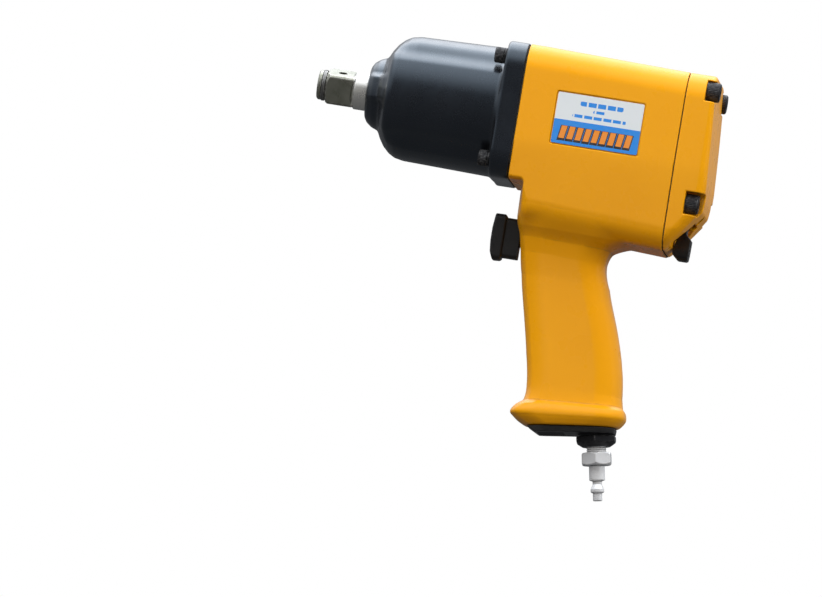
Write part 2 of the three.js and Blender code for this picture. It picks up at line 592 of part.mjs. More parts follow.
function addBackCover() {
  piece('back_cover', coverShape(), 'yellow_paint');
  const bottom = housingBottom(HOUSING_END);
  const half = housingHalf(HOUSING_END) - 0.4;
  const edge = deepSection(0, half, housingTop(HOUSING_END) - 0.4, bottom + 0.4, 0.4);
  const gasket = cut(gasketShape(edge, HOUSING_END + 0.2, COVER_START - 0.2),
    rod(220, 240, MOTOR_BORE_RADIUS, MOTOR_ROUND),
    rod(220, 240, 7.8, 12).translate(0, 0, VALVE_HEIGHT),
    rod(220, 240, 2.5, 8).translate(0, 0, DETENT_HEIGHT),
    ...rearScrewPlaces.map(([y, z]) => rod(220, 240, 4.5, 8).translate(0, y, z)));
  piece('rear_gasket', gasket, 'gasket_paper');
  rearScrewPlaces.forEach(([y, z, headStart], index) => {
    const headEnd = headStart + REAR_HEAD_LENGTH;
    const screw = capScrew(headEnd, REAR_HEAD_LENGTH, 6.1, 28, REAR_SCREW_RADIUS, -1);
    piece(`rear_screw_${index + 1}`, screw, 'black_oxide').position.set(0, y, z);
  });
  const valve = cut(
    toSolid(rod(214, 237.2, 7, 16)),
    block(213, 219, -8, 8, -8, -2.5),
    rod(230, 240, 1.7, 12));
  piece('reverse_valve', valve, 'bronze').position.z = VALVE_HEIGHT;
  piece('reverse_lever', leverShape(), 'black_plastic');
  const leverScrew = piece('lever_screw', capScrew(246.4, 2.9, 3.4, 10.5, 1.4, -1), 'black_oxide');
  leverScrew.position.z = VALVE_HEIGHT;
  const ball = new THREE.SphereGeometry(1.7, 10, 6).translate(235.6, 0, DETENT_HEIGHT);
  piece('detent_ball', ball, 'polished_steel');
  const detentSpring = piece('detent_spring', coilSpring(225, 233.6, 1.3, 0.3, 5, 7), 'polished_steel');
  detentSpring.position.z = DETENT_HEIGHT;
}

// ---------------------------------------------------------------- air motor

function rotorShape() {
  const body = turned([
    [108, 0], [108, 7], [121, 7], [121, JOURNAL_RADIUS], [132, JOURNAL_RADIUS], [132, 11],
    [ROTOR_START, 11], [ROTOR_START, ROTOR_RADIUS], [ROTOR_END, ROTOR_RADIUS], [ROTOR_END, 11],
    [201.6, 11], [201.6, JOURNAL_RADIUS], [213, JOURNAL_RADIUS], [213, 0],
  ], 24);
  const slot = block(ROTOR_START - 1, ROTOR_END + 1, -1.55, 1.55, 14.4, 30);
  const slots = range(VANES).map(
    (index) => slot.clone().rotateX(Math.PI / 6 + index * 2 * Math.PI / VANES));
  const hexEnd = toSolid(hexagon(107, 120.5, 13)).subtract(toSolid(block(100, 107.9, -9, 9, -9, 9)));
  return cut(toSolid(body), tube(100, 120.5, 5.5, 20), ...slots).add(hexEnd);
}

function ballSetShape(start) {
  const middle = (BEARING_BORE + BEARING_OUTSIDE) / 2;
  const x = start + BEARING_WIDTH / 2;
  const balls = range(BALLS).map((index) => new THREE.SphereGeometry(1.9, 6, 4)
    .translate(x, 0, middle).rotateX(index * 2 * Math.PI / BALLS));
  return join(tube(x - 0.9, x + 0.9, middle - 0.9, middle + 0.9, 12), ...balls);
}

function addBearing(name, start) {
  const end = start + BEARING_WIDTH;
  piece(`${name}_bearing_inner`, tube(start, end, BEARING_BORE, 10.7, 20), 'polished_steel');
  piece(`${name}_bearing_outer`, tube(start, end, 15.4, BEARING_OUTSIDE, 20), 'polished_steel');
  piece(`${name}_bearing_balls`, ballSetShape(start), 'polished_steel');
}

function addMotor() {
  const frontPlate = cut(join(rod(129.9, 136.6, 36, MOTOR_ROUND), rod(121.4, 130.5, 24)),
    rod(120, 131.3, BEARING_OUTSIDE + GAP), rod(120, 140, 12));
  piece('front_end_plate', frontPlate, 'dark_steel');
  const rearPlate = cut(join(rod(197, 203.2, 36, MOTOR_ROUND), rod(203, 214, 24)),
    rod(202.2, 216, BEARING_OUTSIDE + GAP), rod(190, 216, 12));
  piece('rear_end_plate', rearPlate, 'dark_steel');
  addBearing('front', 121.6);
  addBearing('rear', 202.6);
  const liner = cut(toSolid(rod(136.8, 196.7, 36, MOTOR_ROUND)),
    rod(130, 200, CYLINDER_RADIUS, MOTOR_ROUND).translate(0, 0, CYLINDER_OFFSET),
    block(155, 179, -5, 5, -40, -20));
  piece('cylinder', liner, 'dark_steel');
  piece('rotor', rotorShape(), 'polished_steel');
  range(VANES).forEach((index) => {
    const shape = block(ROTOR_START + 0.2, ROTOR_END - 0.2, -1.2, 1.2, 15, ROTOR_RADIUS - 0.2);
    const vane = piece(`vane_${index + 1}`, shape, 'vane_laminate');
    vane.rotation.x = Math.PI / 6 + index * 2 * Math.PI / VANES;
  });
}

// ---------------------------------------------------------------- trigger and throttle

// The trigger's finger pad stands in front of the handle, and its body slides in a pocket behind it.
function triggerShape() {
  const head = outline([
    [123.8, -62.6], [130, -62.4], [131, -64], [131, -90.4], [130, -91.6], [125.6, -92],
    [123.6, -87], [122.9, -80], [122.9, -72],
  ]);
  const pad = toSolid(sidePlate(head, 30))
    .intersect(toSolid(crossPlate(roundedRectangle(-7.5, 7.5, -92.5, -62, 4), 120, 135)));
  const body = crossPlate(roundedRectangle(-6, 6, -89.5, -64.5, 2.5), 130, TRIGGER_BODY_END, 3);
  const stem = rod(TRIGGER_BODY_END - 1, 154, 4.6, 16).translate(0, 0, TRIGGER_HEIGHT);
  return pad.add(toSolid(body)).add(toSolid(stem));
}

function addThrottle() {
  const low = TRIGGER_HEIGHT;
  piece('trigger_button', triggerShape(), 'black_plastic');
  piece('trigger_bushing', tube(POCKET_END + 0.4, 155.6, 4.9, 8, 16), 'bronze').position.z = low;
  piece('trigger_pin', rod(154.3, SEAT_START + 3.2, 1.8, 12), 'polished_steel').position.z = low;
  piece('throttle_seat', tube(SEAT_START, SEAT_START + 3, 4.2, 9, 16), 'bronze').position.z = low;
  const valve = turned([
    [0, 0], [0, 2.4], [1.9, 6.2], [4.6, 6.2], [4.6, 3], [7.4, 3], [7.4, 0],
  ].map(([x, radius]) => [SEAT_START + 3.5 + x, radius]), 16);
  piece('throttle_valve', valve, 'bronze').position.z = low;
  const spring = coilSpring(SEAT_START + 8.4, 188.4, 5.2, 0.7, 5, 9);
  piece('throttle_spring', spring, 'polished_steel').position.z = low;
}

// ---------------------------------------------------------------- exhaust deflector and inlet

function deflectorShape() {
  const side = outline([[164.4, -191.4], [219.6, -184.4], [219.2, -187.9], [171, -194.6]]);
  const plan = new THREE.ExtrudeGeometry(roundedRectangle(163.5, 219.4, -19, 19, 13), {
    depth: 20, bevelEnabled: false, curveSegments: 6 }).translate(0, 0, -200);
  const slots = range(4).map((index) => block(171.5, 188, -11 + index * 6, -7 + index * 6, -200, -180));
  return cut(toSolid(sidePlate(side, 60)).intersect(toSolid(plan)), ...slots, inletRod(-20, 10, 11.2));
}

function addInlet() {
  piece('exhaust_deflector', deflectorShape(), 'black_plastic');
  const along = (geometry) => aimed(geometry, INLET, INLET_DIRECTION);
  const bushing = toSolid(hexagon(-2.1, 4.5, 24)).intersect(toSolid(turned([
    [-3, 0], [-3, 14], [0.9, 14], [4.5, 8.4], [4.5, 0]])));
  const bushingShape = bushing.add(toSolid(rod(-26, -1.5, 10.5, 24)))
    .subtract(toSolid(rod(-30, 10, 7, 24)));
  piece('inlet_bushing', along(toGeometry(bushingShape)), 'black_oxide');
  const screen = turned([
    [-24, 0], [-24, 5.2], [-23, 6.2], [-9, 6.2], [-9, 5.4], [-22.6, 5.4], [-23.2, 4.8], [-23.2, 0],
  ], 16);
  piece('inlet_screen', along(screen), 'nickel');
  const nut = toSolid(hexagon(8, 15.9, 18)).intersect(toSolid(turned([
    [8, 0], [8, 9], [9.2, 10.4], [14.4, 10.4], [15.9, 8.6], [15.9, 0]])));
  const adapter = nut.add(toSolid(rod(-5, 8.5, 6.2, 24))).subtract(toSolid(rod(-6, 20, 3.8, 16)));
  piece('plug_adapter', along(toGeometry(adapter)), 'nickel');
  const plug = turned([
    [7, 1.9], [7, 3.4], [16.2, 3.4], [16.2, 4.9], [25.1, 4.9], [25.8, 2.9], [27.6, 2.9], [30.8, 4.2],
    [32.6, 4.2], [33.2, 2.9], [38, 2.9], [38, 1.9], [7, 1.9],
  ], 20);
  piece('air_plug', along(plug), 'nickel');
}

addHammerMechanism();
addHammerCase();
addHousing();
addBackCover();
addMotor();
addThrottle();
addInlet();

export default group;
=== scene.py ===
import json
import math

import bpy
import numpy as np
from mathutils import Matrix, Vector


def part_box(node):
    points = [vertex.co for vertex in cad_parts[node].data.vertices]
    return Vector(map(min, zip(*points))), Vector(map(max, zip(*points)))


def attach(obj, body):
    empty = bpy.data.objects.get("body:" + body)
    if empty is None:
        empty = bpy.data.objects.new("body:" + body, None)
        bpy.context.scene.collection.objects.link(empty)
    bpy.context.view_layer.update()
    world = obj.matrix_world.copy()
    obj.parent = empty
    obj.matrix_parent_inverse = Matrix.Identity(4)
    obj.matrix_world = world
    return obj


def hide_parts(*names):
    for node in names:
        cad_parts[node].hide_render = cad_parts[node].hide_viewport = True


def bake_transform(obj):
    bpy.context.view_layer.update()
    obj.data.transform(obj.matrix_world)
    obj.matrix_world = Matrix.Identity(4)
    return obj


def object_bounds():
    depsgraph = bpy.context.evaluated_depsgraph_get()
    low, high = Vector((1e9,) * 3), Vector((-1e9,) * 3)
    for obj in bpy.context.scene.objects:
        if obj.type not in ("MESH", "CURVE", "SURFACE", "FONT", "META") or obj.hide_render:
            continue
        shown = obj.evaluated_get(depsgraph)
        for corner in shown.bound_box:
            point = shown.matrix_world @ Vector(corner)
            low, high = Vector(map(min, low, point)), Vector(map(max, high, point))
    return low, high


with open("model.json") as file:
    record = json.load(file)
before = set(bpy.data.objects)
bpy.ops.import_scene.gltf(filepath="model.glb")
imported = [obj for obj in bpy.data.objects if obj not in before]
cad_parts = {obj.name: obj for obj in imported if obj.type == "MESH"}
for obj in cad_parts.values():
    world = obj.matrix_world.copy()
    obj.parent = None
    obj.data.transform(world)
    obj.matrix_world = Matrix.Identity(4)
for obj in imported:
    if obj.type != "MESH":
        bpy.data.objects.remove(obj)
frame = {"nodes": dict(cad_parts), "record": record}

import openvdb
from mathutils import Matrix, Vector

CAD_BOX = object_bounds()
MM = 0.001
COARSER = 1.0  # how much larger surface cells are than asked for
NODE_SLOTS = {part["node"]: part["material_slot"] for part in frame["record"]["subparts"]}


def span(node):
    """Lowest and highest corner of a CAD node, in millimetres."""
    low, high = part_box(node)
    return np.array(low) / MM, np.array(high) / MM


def centre(node):
    """Middle of a CAD node's box, in millimetres."""
    low, high = span(node)
    return (low + high) / 2


CASE_HIGH = span("hammer_case")[1]
BODY_LOW, BODY_HIGH = span("motor_housing")
COVER_LOW = span("back_cover")[0]
PLATE_LOW, PLATE_HIGH = span("name_plate")
FRONT_SCREWS = [centre(f"front_screw_{number}")[1:] for number in range(1, 5)]
REAR_SCREWS = [centre(f"rear_screw_{number}")[1:] for number in range(1, 5)]
TRIGGER_HEIGHT = centre("trigger_pin")[2]
VALVE_HEIGHT = centre("reverse_valve")[2]
DETENT_HEIGHT = centre("detent_ball")[2]
MOUNTS = {mount["name"]: mount for mount in frame["record"]["mounts"]}

# sizes that more than one piece keeps to, in millimetres
HALF = CASE_HIGH[1]  # half the width of the square flange
TRIGGER_POCKET_HEIGHT = -77.0
FRONT_SCREW_HOLE = 3.3  # radii of round holes
REAR_SCREW_HOLE = 4.3
VALVE_HOLE = 7.4
DETENT_HOLE = 2.2
REAR_HOLES_END = 212.0  # the holes in the housing's rear face end here

# the air inlet's own axis points outward, with the air plug's end at PLUG_END
INLET_AXIS = np.array(MOUNTS["air_plug_end"]["axis"])
PLUG_END = 38.0
INLET_PLACE = np.array(MOUNTS["air_plug_end"]["pos_m"]) / MM - PLUG_END * INLET_AXIS
INLET_PLACE[1] = 0.0


# ---- distance fields, in millimetres

both = np.maximum  # what is inside both of two shapes, with a sharp edge between them


def round_both(a, b, radius):
    """What is inside both, with the edge between them rounded."""
    a, b = a + radius, b + radius
    outside = np.hypot(np.maximum(a, 0), np.maximum(b, 0))
    return outside + np.minimum(np.maximum(a, b), 0) - radius


def round_join(a, b, radius):
    """Both together, with a fillet where they meet."""
    return -round_both(-a, -b, radius)


def round_cut(a, b, radius):
    """The first without the second, with a rounded rim."""
    return round_both(a, -b, radius)


def hollowed(made, *hollows):
    """The first without the others, with sharp rims."""
    for hollow in hollows:
        made = both(made, -hollow)
    return made


def slab(x, start, end):
    """What lies between two places on an axis."""
    return both(start - x, x - end)


def rod(y, z, place, up, radius):
    """A round rod along X, without ends."""
    return np.hypot(y - place, z - up) - radius


def rectangle(u, v, half_u, half_v, radius):
    """A rectangle about 0 with rounded corners."""
    du = np.abs(u) - half_u + radius
    dv = np.abs(v) - half_v + radius
    outside = np.hypot(np.maximum(du, 0), np.maximum(dv, 0))
    return outside + np.minimum(both(du, dv), 0) - radius


def hexagon(u, v, apothem):
    """A hexagon about 0, with a corner on the u axis."""
    lean = math.sin(math.pi / 3) * u
    sides = both(np.abs(lean + 0.5 * v), np.abs(lean - 0.5 * v))
    return both(sides, np.abs(v)) - apothem


def smooth_step(value, start, end):
    """0 up to start, 1 from end, and a smooth rise between them."""
    t = np.clip((value - start) / (end - start), 0, 1)
    return t * t * (3 - 2 * t)


def waves(value, spacing):
    """Even waves from 0 to 1."""
    return 0.5 + 0.5 * np.cos(2 * np.pi * value / spacing)


def blurred(values, sigma):
    """A table of numbers smoothed along its first axis."""
    reach = int(3 * sigma) + 1
    kernel = np.exp(-0.5 * (np.arange(-reach, reach + 1) / sigma) ** 2)
    kernel = kernel / kernel.sum()
    padded = np.pad(values, [(reach, reach), (0, 0)], mode="reflect", reflect_type="odd")
    return np.apply_along_axis(lambda line: np.convolve(line, kernel, "valid"), 0, padded)


class Section:
    """The distance to a closed outline in a plane, with its corners softened, as a table to look up."""

    MARGIN = 6.0  # how far the table goes on round the outline

    def __init__(self, points, soft, step=0.2):
        points = np.array(points, float)
        self.low, self.step = points.min(0) - self.MARGIN, step
        counts = np.ceil((points.max(0) + self.MARGIN - self.low) / step).astype(int) + 2
        u, v = (self.low[axis] + step * np.arange(counts[axis]) for axis in (0, 1))
        u, v = np.meshgrid(u, v, indexing="ij")
        nearest = np.full(u.shape, 1e9)
        inside = np.zeros(u.shape, bool)
        for (u0, v0), (u1, v1) in zip(points, np.roll(points, -1, 0)):
            du, dv = u1 - u0, v1 - v0
            along = np.clip(((u - u0) * du + (v - v0) * dv) / (du * du + dv * dv), 0, 1)
            nearest = np.minimum(nearest, np.hypot(u - u0 - along * du, v - v0 - along * dv))
            if dv != 0:
                crosses = (v0 > v) != (v1 > v)
                inside ^= crosses & (u < u0 + (v - v0) * du / dv)
        table = np.where(inside, -nearest, nearest)
        self.table = blurred(blurred(table, soft / step).T, soft / step).T

    def __call__(self, u, v):
        """The distance at a place, read between the table's four nearest entries."""
        u = (u - self.low[0]) / self.step
        v = (v - self.low[1]) / self.step
        u = np.clip(u, 0, self.table.shape[0] - 1.001)
        v = np.clip(v, 0, self.table.shape[1] - 1.001)
        i, j = u.astype(np.int32), v.astype(np.int32)
        fu, fv = u - i, v - j
        return ((self.table[i, j] * (1 - fu) + self.table[i + 1, j] * fu) * (1 - fv)
                + (self.table[i, j + 1] * (1 - fu) + self.table[i + 1, j + 1] * fu) * fv)


def turned(points, soft, step=0.2):
    """A section of [x, radius] points closed across the axis, for a shape turned about it."""
    mirrored = [(x, -radius) for x, radius in reversed(points) if radius > 0]
    return Section(points + mirrored, soft, step)


def along_inlet(x, z):
    """Distance along the inlet's axis, and across it in the XZ plane."""
    dx, dz = x - INLET_PLACE[0], z - INLET_PLACE[2]
    return dx * INLET_AXIS[0] + dz * INLET_AXIS[2], -dx * INLET_AXIS[2] + dz * INLET_AXIS[0]


def surface(distance, low, high, voxel):
    """Corner points, four-sided faces, normals and edge sharpness of the surface where distance is 0.
    A grid gives the faces, and each corner is then moved onto the surface itself."""
    low, high = np.array(low, float), np.array(high, float)
    start = low - 2.5 * voxel
    counts = np.ceil((high - start) / voxel).astype(int) + 4
    x, y, z = np.ix_(*[start[axis] + voxel * np.arange(counts[axis]) for axis in range(3)])
    field = np.broadcast_to(distance(x, y, z), tuple(counts))
    band = 3 * voxel
    grid = openvdb.FloatGrid(band)
    grid.copyFromArray(np.ascontiguousarray(np.clip(field, -band, band), np.float32))
    points, quads = grid.convertToQuads()
    points = start + np.array(points, float) * voxel
    quads = np.array(quads, np.int64)

    def sample(at, offset):
        return distance(at[:, 0] + offset[0], at[:, 1] + offset[1], at[:, 2] + offset[2])

    def slope(at, reach):
        steps = reach * np.eye(3)
        high_side = [sample(at, step) for step in steps]
        low_side = [sample(at, -step) for step in steps]
        gradient = np.stack([(a - b) / (2 * reach) for a, b in zip(high_side, low_side)], 1)
        return gradient, sum(high_side + low_side)

    for _ in range(2):
        gradient, _ = slope(points, 0.1 * voxel)
        strength = np.maximum((gradient ** 2).sum(1), 0.2)
        move = -(sample(points, (0, 0, 0)) / strength)[:, None] * gradient
        length = np.linalg.norm(move, axis=1)[:, None]
        points = points + move * np.minimum(1, 0.5 * voxel / np.maximum(length, 1e-9))
    reach = 0.45 * voxel
    normals, total = slope(points, reach)
    sharpness = (total - 6 * sample(points, (0, 0, 0))) / reach ** 2
    normals /= np.maximum(np.linalg.norm(normals, axis=1), 1e-9)[:, None]
    a, b, c = (points[quads[:, corner]] for corner in (0, 1, 2))
    facing = (np.cross(b - a, c - b) * normals[quads[:, 0]]).sum()
    if facing <= 0:
        quads = quads[:, ::-1]
    return points, quads, normals, sharpness


def sculpted(name, distance, low, high, voxel):
    """A mesh of the surface where distance is 0, with cells of the given size. Its attribute relief is
    above 0 on edges and below 0 in hollows."""
    points, quads, normals, sharpness = surface(distance, low, high, voxel * COARSER)
    mesh = bpy.data.meshes.new(name)
    mesh.vertices.add(len(points))
    mesh.vertices.foreach_set("co", (points * MM).astype(np.float32).ravel())
    mesh.loops.add(quads.size)
    mesh.loops.foreach_set("vertex_index", quads.astype(np.int32).ravel())
    mesh.polygons.add(len(quads))
    mesh.polygons.foreach_set("loop_start", np.arange(0, quads.size, 4, dtype=np.int32))
    mesh.update(calc_edges=True)
    mesh.normals_split_custom_set_from_vertices(normals.tolist())
    relief = mesh.attributes.new("relief", "FLOAT", "POINT")
    relief.data.foreach_set("value", sharpness.astype(np.float32))
    return mesh


def put(name, data):
    """A new object in the scene."""
    made = bpy.data.objects.new(name, data)
    bpy.context.scene.collection.objects.link(made)
    return made


def add(name, mesh, material, replaced, body="housing", place=None):
    """Puts a mesh in the scene as a piece on a CAD body, in place of a CAD node."""
    piece = put(name, mesh)
    if not mesh.materials:
        mesh.materials.append(MATERIALS[material])
    if place is not None:
        piece.matrix_world = place
    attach(piece, body)
    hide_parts(replaced)


def add_sculpted(name, distance, voxel, material, replaced, body="housing"):
    """A sculpted piece that lies within its CAD node's box."""
    add(name, sculpted(name, distance, *span(replaced), voxel), material, replaced, body)


# ---- materials

def node(tree, kind, inputs=None, **settings):
    """A shader node. An input is a value, or another node's socket to link to it."""
    made = tree.nodes.new("ShaderNode" + kind)
    for key, value in settings.items():
        setattr(made, key, value)
    for key, value in (inputs or {}).items():
        if isinstance(value, bpy.types.NodeSocket):
            tree.links.new(value, made.inputs[key])
        else:
            made.inputs[key].default_value = value
    return made


def own_place(tree):
    """A place in the piece's own metres."""
    return node(tree, "TexCoord").outputs["Object"]


def noise(tree, scale, detail, stretch=None):
    """Noise between 0 and 1 that is fixed to the piece."""
    place = own_place(tree)
    if stretch is not None:
        place = node(tree, "Mapping", {"Vector": place, "Scale": stretch}).outputs["Vector"]
    return node(tree, "TexNoise", {"Vector": place, "Scale": scale, "Detail": detail}).outputs["Fac"]


def between(tree, value, from_low, from_high, to_low, to_high):
    """A value's range mapped onto another range, and cut off at its ends."""
    return node(tree, "MapRange", {
        "Value": value, "From Min": from_low, "From Max": from_high, "To Min": to_low, "To Max": to_high,
    }).outputs["Result"]


def product(tree, a, b):
    return node(tree, "Math", {0: a, 1: b}, operation="MULTIPLY").outputs[0]


def blend(tree, factor, first, second):
    """Two colours mixed."""
    made = node(tree, "Mix", {0: factor, 6: first, 7: second}, data_type="RGBA")
    return made.outputs[2]


def varied(tree, value, low, high):
    """A noise spread over a range, which it fills from its own 0.3 to 0.7."""
    return between(tree, value, 0.3, 0.7, low, high)


def relief(tree):
    """How sharply the surface turns: above 0 on edges, below 0 in hollows."""
    return node(tree, "Attribute", attribute_name="relief").outputs["Fac"]


def bumped(tree, layers):
    """A normal from layers of (height, strength, distance in metres)."""
    normal = None
    for height, strength, distance in layers:
        inputs = {"Height": height, "Strength": strength, "Distance": distance}
        if normal is not None:
            inputs["Normal"] = normal
        normal = node(tree, "Bump", inputs).outputs["Normal"]
    return normal


def start_material(name, **values):
    """A material and its nodes, with values set on the shader's own sockets."""
    made = bpy.data.materials.new(name)
    made.use_nodes = True
    inputs = made.node_tree.nodes["Principled BSDF"].inputs
    for key, value in values.items():
        inputs[key.replace("_", " ").title().replace("Ior", "IOR")].default_value = value
    return made, made.node_tree


def finished(made, base, rough=None, layers=()):
    """A material whose shader takes a colour, a roughness and layers of bumps from its nodes."""
    tree = made.node_tree
    inputs = tree.nodes["Principled BSDF"].inputs
    tree.links.new(base, inputs["Base Color"])
    if rough is not None:
        tree.links.new(rough, inputs["Roughness"])
    if layers:
        tree.links.new(bumped(tree, layers), inputs["Normal"])
    return made


def colour(red, green, blue):
    return (red, green, blue, 1.0)


def grey(level):
    return colour(level, level, level)


def edge_wear_and_highlight(tree, low, high, amount, scale=260.0):
    """A mask on edges, broken up by noise. On the yellow paint and the enamel it carries a painted edge
    highlight, and on the other materials lighter wear. Low and high are values of relief.
    """
    edge = between(tree, relief(tree), low, high, 0, amount)
    return product(tree, edge, between(tree, noise(tree, scale, 4), 0.42, 0.62, 0, 1))


def hollow_dirt_and_shade(tree, amount):
    """A mask in hollows, broken up by noise. On the yellow paint it carries painted shade, on the enamel a
    pale dust, and on the steels a near-black darkening.
    """
    hollow = between(tree, relief(tree), -0.05, -0.7, 0, amount)
    return product(tree, hollow, varied(tree, noise(tree, 120, 4), 0.4, 1))


def yellow_paint():
    made, tree = start_material("yellow_paint", coat_weight=0.12, coat_roughness=0.08,
                                roughness=0.34, specular_ior_level=0.22)
    drift = varied(tree, noise(tree, 14, 3), 0, 1)
    base = blend(tree, drift, colour(0.84, 0.35, 0.002), colour(0.89, 0.385, 0.003))
    specks = between(tree, noise(tree, 420, 3), 0.58, 0.75, 0, 0.1)
    base = blend(tree, specks, base, colour(0.72, 0.28, 0.006))
    # painted shade: hollows turn a dark orange-brown
    base = blend(tree, hollow_dirt_and_shade(tree, 0.45), base, colour(0.3, 0.115, 0.01))
    # painted highlight: edges turn a paler, brighter yellow
    base = blend(tree, edge_wear_and_highlight(tree, 0.8, 2.4, 0.35), base, colour(0.93, 0.52, 0.06))
    rough = varied(tree, noise(tree, 90, 5), 0.24, 0.36)
    cast, peel = noise(tree, 45, 2), noise(tree, 700, 2)
    return finished(made, base, rough, [(cast, 0.12, 0.0004), (peel, 0.08, 0.00011)])


def black_enamel():
    # the specular tint puts a painted blue cast on the enamel's reflections
    made, tree = start_material("black_enamel", coat_weight=0.4, coat_roughness=0.08,
                                roughness=0.3, specular_ior_level=0.85,
                                specular_tint=colour(0.62, 0.82, 1.0))
    drift = varied(tree, noise(tree, 30, 4), 0, 1)
    base = blend(tree, drift, colour(0.005, 0.005, 0.0066), colour(0.008, 0.008, 0.01))
    # painted highlight: edges turn dark grey
    base = blend(tree, edge_wear_and_highlight(tree, 0.9, 2.4, 0.5, 300), base, colour(0.05, 0.05, 0.055))
    base = blend(tree, hollow_dirt_and_shade(tree, 0.5), base, colour(0.016, 0.014, 0.012))
    rough = varied(tree, noise(tree, 130, 5), 0.24, 0.34)
    cast, peel = noise(tree, 40, 2), noise(tree, 620, 2)
    return finished(made, base, rough, [(cast, 0.08, 0.0003), (peel, 0.06, 0.0001)])


def black_oxide():
    made, tree = start_material("black_oxide", metallic=0.35, specular_ior_level=0.5)
    base = blend(tree, noise(tree, 500, 4), colour(0.008, 0.008, 0.009), colour(0.022, 0.022, 0.025))
    base = blend(tree, edge_wear_and_highlight(tree, 0.8, 2.5, 0.6, 600), base, grey(0.2))
    rough = varied(tree, noise(tree, 350, 4), 0.32, 0.5)
    return finished(made, base, rough, [(noise(tree, 2200, 3), 0.25, 0.00008)])


def moulded(name, dark, light, low_rough, high_rough, grain):
    """A moulded plastic or rubber with a fine grain."""
    made, tree = start_material(name, specular_ior_level=0.5)
    base = blend(tree, noise(tree, 160, 4), dark, light)
    base = blend(tree, edge_wear_and_highlight(tree, 0.8, 2.2, 0.4, 400), base, colour(0.07, 0.07, 0.072))
    rough = varied(tree, noise(tree, 220, 4), low_rough, high_rough)
    return finished(made, base, rough, [(noise(tree, grain, 3), 0.3, 0.00007)])


def steel(name, dark, light, low_rough, high_rough, lines=(2600, 8, 8), line_depth=0.00004, stain=None,
          bright_from=None, metallic=0.85):
    """A machined metal, with tool marks round the X axis unless lines says otherwise. It can be stained,
    and ground bright behind a place on X in metres."""
    made, tree = start_material(name, metallic=metallic)
    base = blend(tree, varied(tree, noise(tree, 60, 5), 0, 1), dark, light)
    if stain is not None:
        base = blend(tree, between(tree, noise(tree, 170, 5), 0.5, 0.72, 0, 0.6), base, stain)
    if bright_from is not None:
        along = node(tree, "SeparateXYZ", {0: own_place(tree)}).outputs["X"]
        ground = between(tree, along, bright_from, bright_from + MM, 0, 1)
        base = blend(tree, ground, base, colour(0.86, 0.85, 0.8))
    # darker, near black, in hollows
    base = blend(tree, hollow_dirt_and_shade(tree, 0.7), base, colour(0.03, 0.027, 0.022))
    base = blend(tree, edge_wear_and_highlight(tree, 0.6, 2.0, 0.5, 500), base, colour(0.86, 0.85, 0.82))
    marks = noise(tree, 1.0, 3, lines)
    rough = varied(tree, noise(tree, 200, 4), low_rough, high_rough)
    return finished(made, base, rough, [(marks, 0.35, line_depth), (noise(tree, 900, 3), 0.1, 0.00005)])


def sintered_bronze():
    made, tree = start_material("bronze", metallic=1.0)
    base = blend(tree, noise(tree, 300, 4), colour(0.42, 0.27, 0.1), colour(0.62, 0.43, 0.19))
    pores = node(tree, "TexVoronoi", {"Vector": own_place(tree), "Scale": 1400.0}).outputs["Distance"]
    rough = varied(tree, noise(tree, 400, 3), 0.32, 0.5)
    return finished(made, base, rough, [(pores, 0.3, 0.00006)])


def gasket_paper():
    made, tree = start_material("gasket_paper", specular_ior_level=0.3)
    fibres = noise(tree, 1.0, 4, (300, 1400, 2600))
    base = blend(tree, fibres, colour(0.02, 0.018, 0.014), colour(0.06, 0.055, 0.042))
    rough = between(tree, fibres, 0.2, 0.8, 0.8, 0.95)
    return finished(made, base, rough, [(fibres, 0.4, 0.0001)])


def vane_laminate():
    made, tree = start_material("vane_laminate", specular_ior_level=0.4)
    weave = node(tree, "TexWave", {"Vector": own_place(tree), "Scale": 900.0,
                                   "Distortion": 2.0}).outputs["Fac"]
    base = blend(tree, weave, colour(0.1, 0.045, 0.016), colour(0.2, 0.1, 0.04))
    rough = varied(tree, noise(tree, 300, 3), 0.45, 0.65)
    return finished(made, base, rough, [(weave, 0.2, 0.00005)])


def ink(name, tone):
    """One colour of the printed plate, under a thin clear film."""
    made, tree = start_material(name, coat_weight=0.4, coat_roughness=0.12, specular_ior_level=0.4)
    paler = colour(*[min(1.0, 0.92 * part + 0.05) for part in tone])
    base = blend(tree, between(tree, noise(tree, 350, 4), 0.35, 0.7, 0, 0.5), colour(*tone), paler)
    rough = varied(tree, noise(tree, 150, 4), 0.3, 0.45)
    return finished(made, base, rough, [(noise(tree, 1500, 2), 0.12, 0.00003)])


BRIGHT_COLLAR = 0.0222  # where the drive's ground collar begins on X, in metres


def make_materials():
    """One material for each slot of the record, and one for the drive."""
    return {
        "yellow_paint": yellow_paint(),
        "black_enamel": black_enamel(),
        "black_oxide": black_oxide(),
        "black_plastic": moulded("black_plastic", grey(0.006), grey(0.012), 0.36, 0.5, 2400),
        "rubber": moulded("rubber", grey(0.008), grey(0.018), 0.6, 0.8, 1600),
        "polished_steel": steel("polished_steel", colour(0.5, 0.49, 0.46), colour(0.68, 0.67, 0.63),
                                0.18, 0.32, stain=colour(0.3, 0.3, 0.24)),
        "dark_steel": steel("dark_steel", colour(0.12, 0.12, 0.115), colour(0.24, 0.24, 0.23), 0.3, 0.45),
        # the nickel is only partly metallic, so its near-white colour shows as a painted diffuse sheen in
        # place of bright reflections
        "nickel": steel("nickel", colour(0.84, 0.86, 0.89), colour(0.96, 0.97, 0.98), 0.06, 0.14,
                        lines=(60, 60, 60), line_depth=0.00002, metallic=0.42),
        "bronze": sintered_bronze(),
        "gasket_paper": gasket_paper(),
        "vane_laminate": vane_laminate(),
        "printed_label": ink("printed_label", (0.72, 0.77, 0.8)),
        "drive_steel": steel("drive_steel", colour(0.24, 0.25, 0.2), colour(0.36, 0.36, 0.3), 0.24, 0.38,
                             stain=colour(0.17, 0.18, 0.12), bright_from=BRIGHT_COLLAR),
    }


MATERIALS = make_materials()


# ---- hammer case

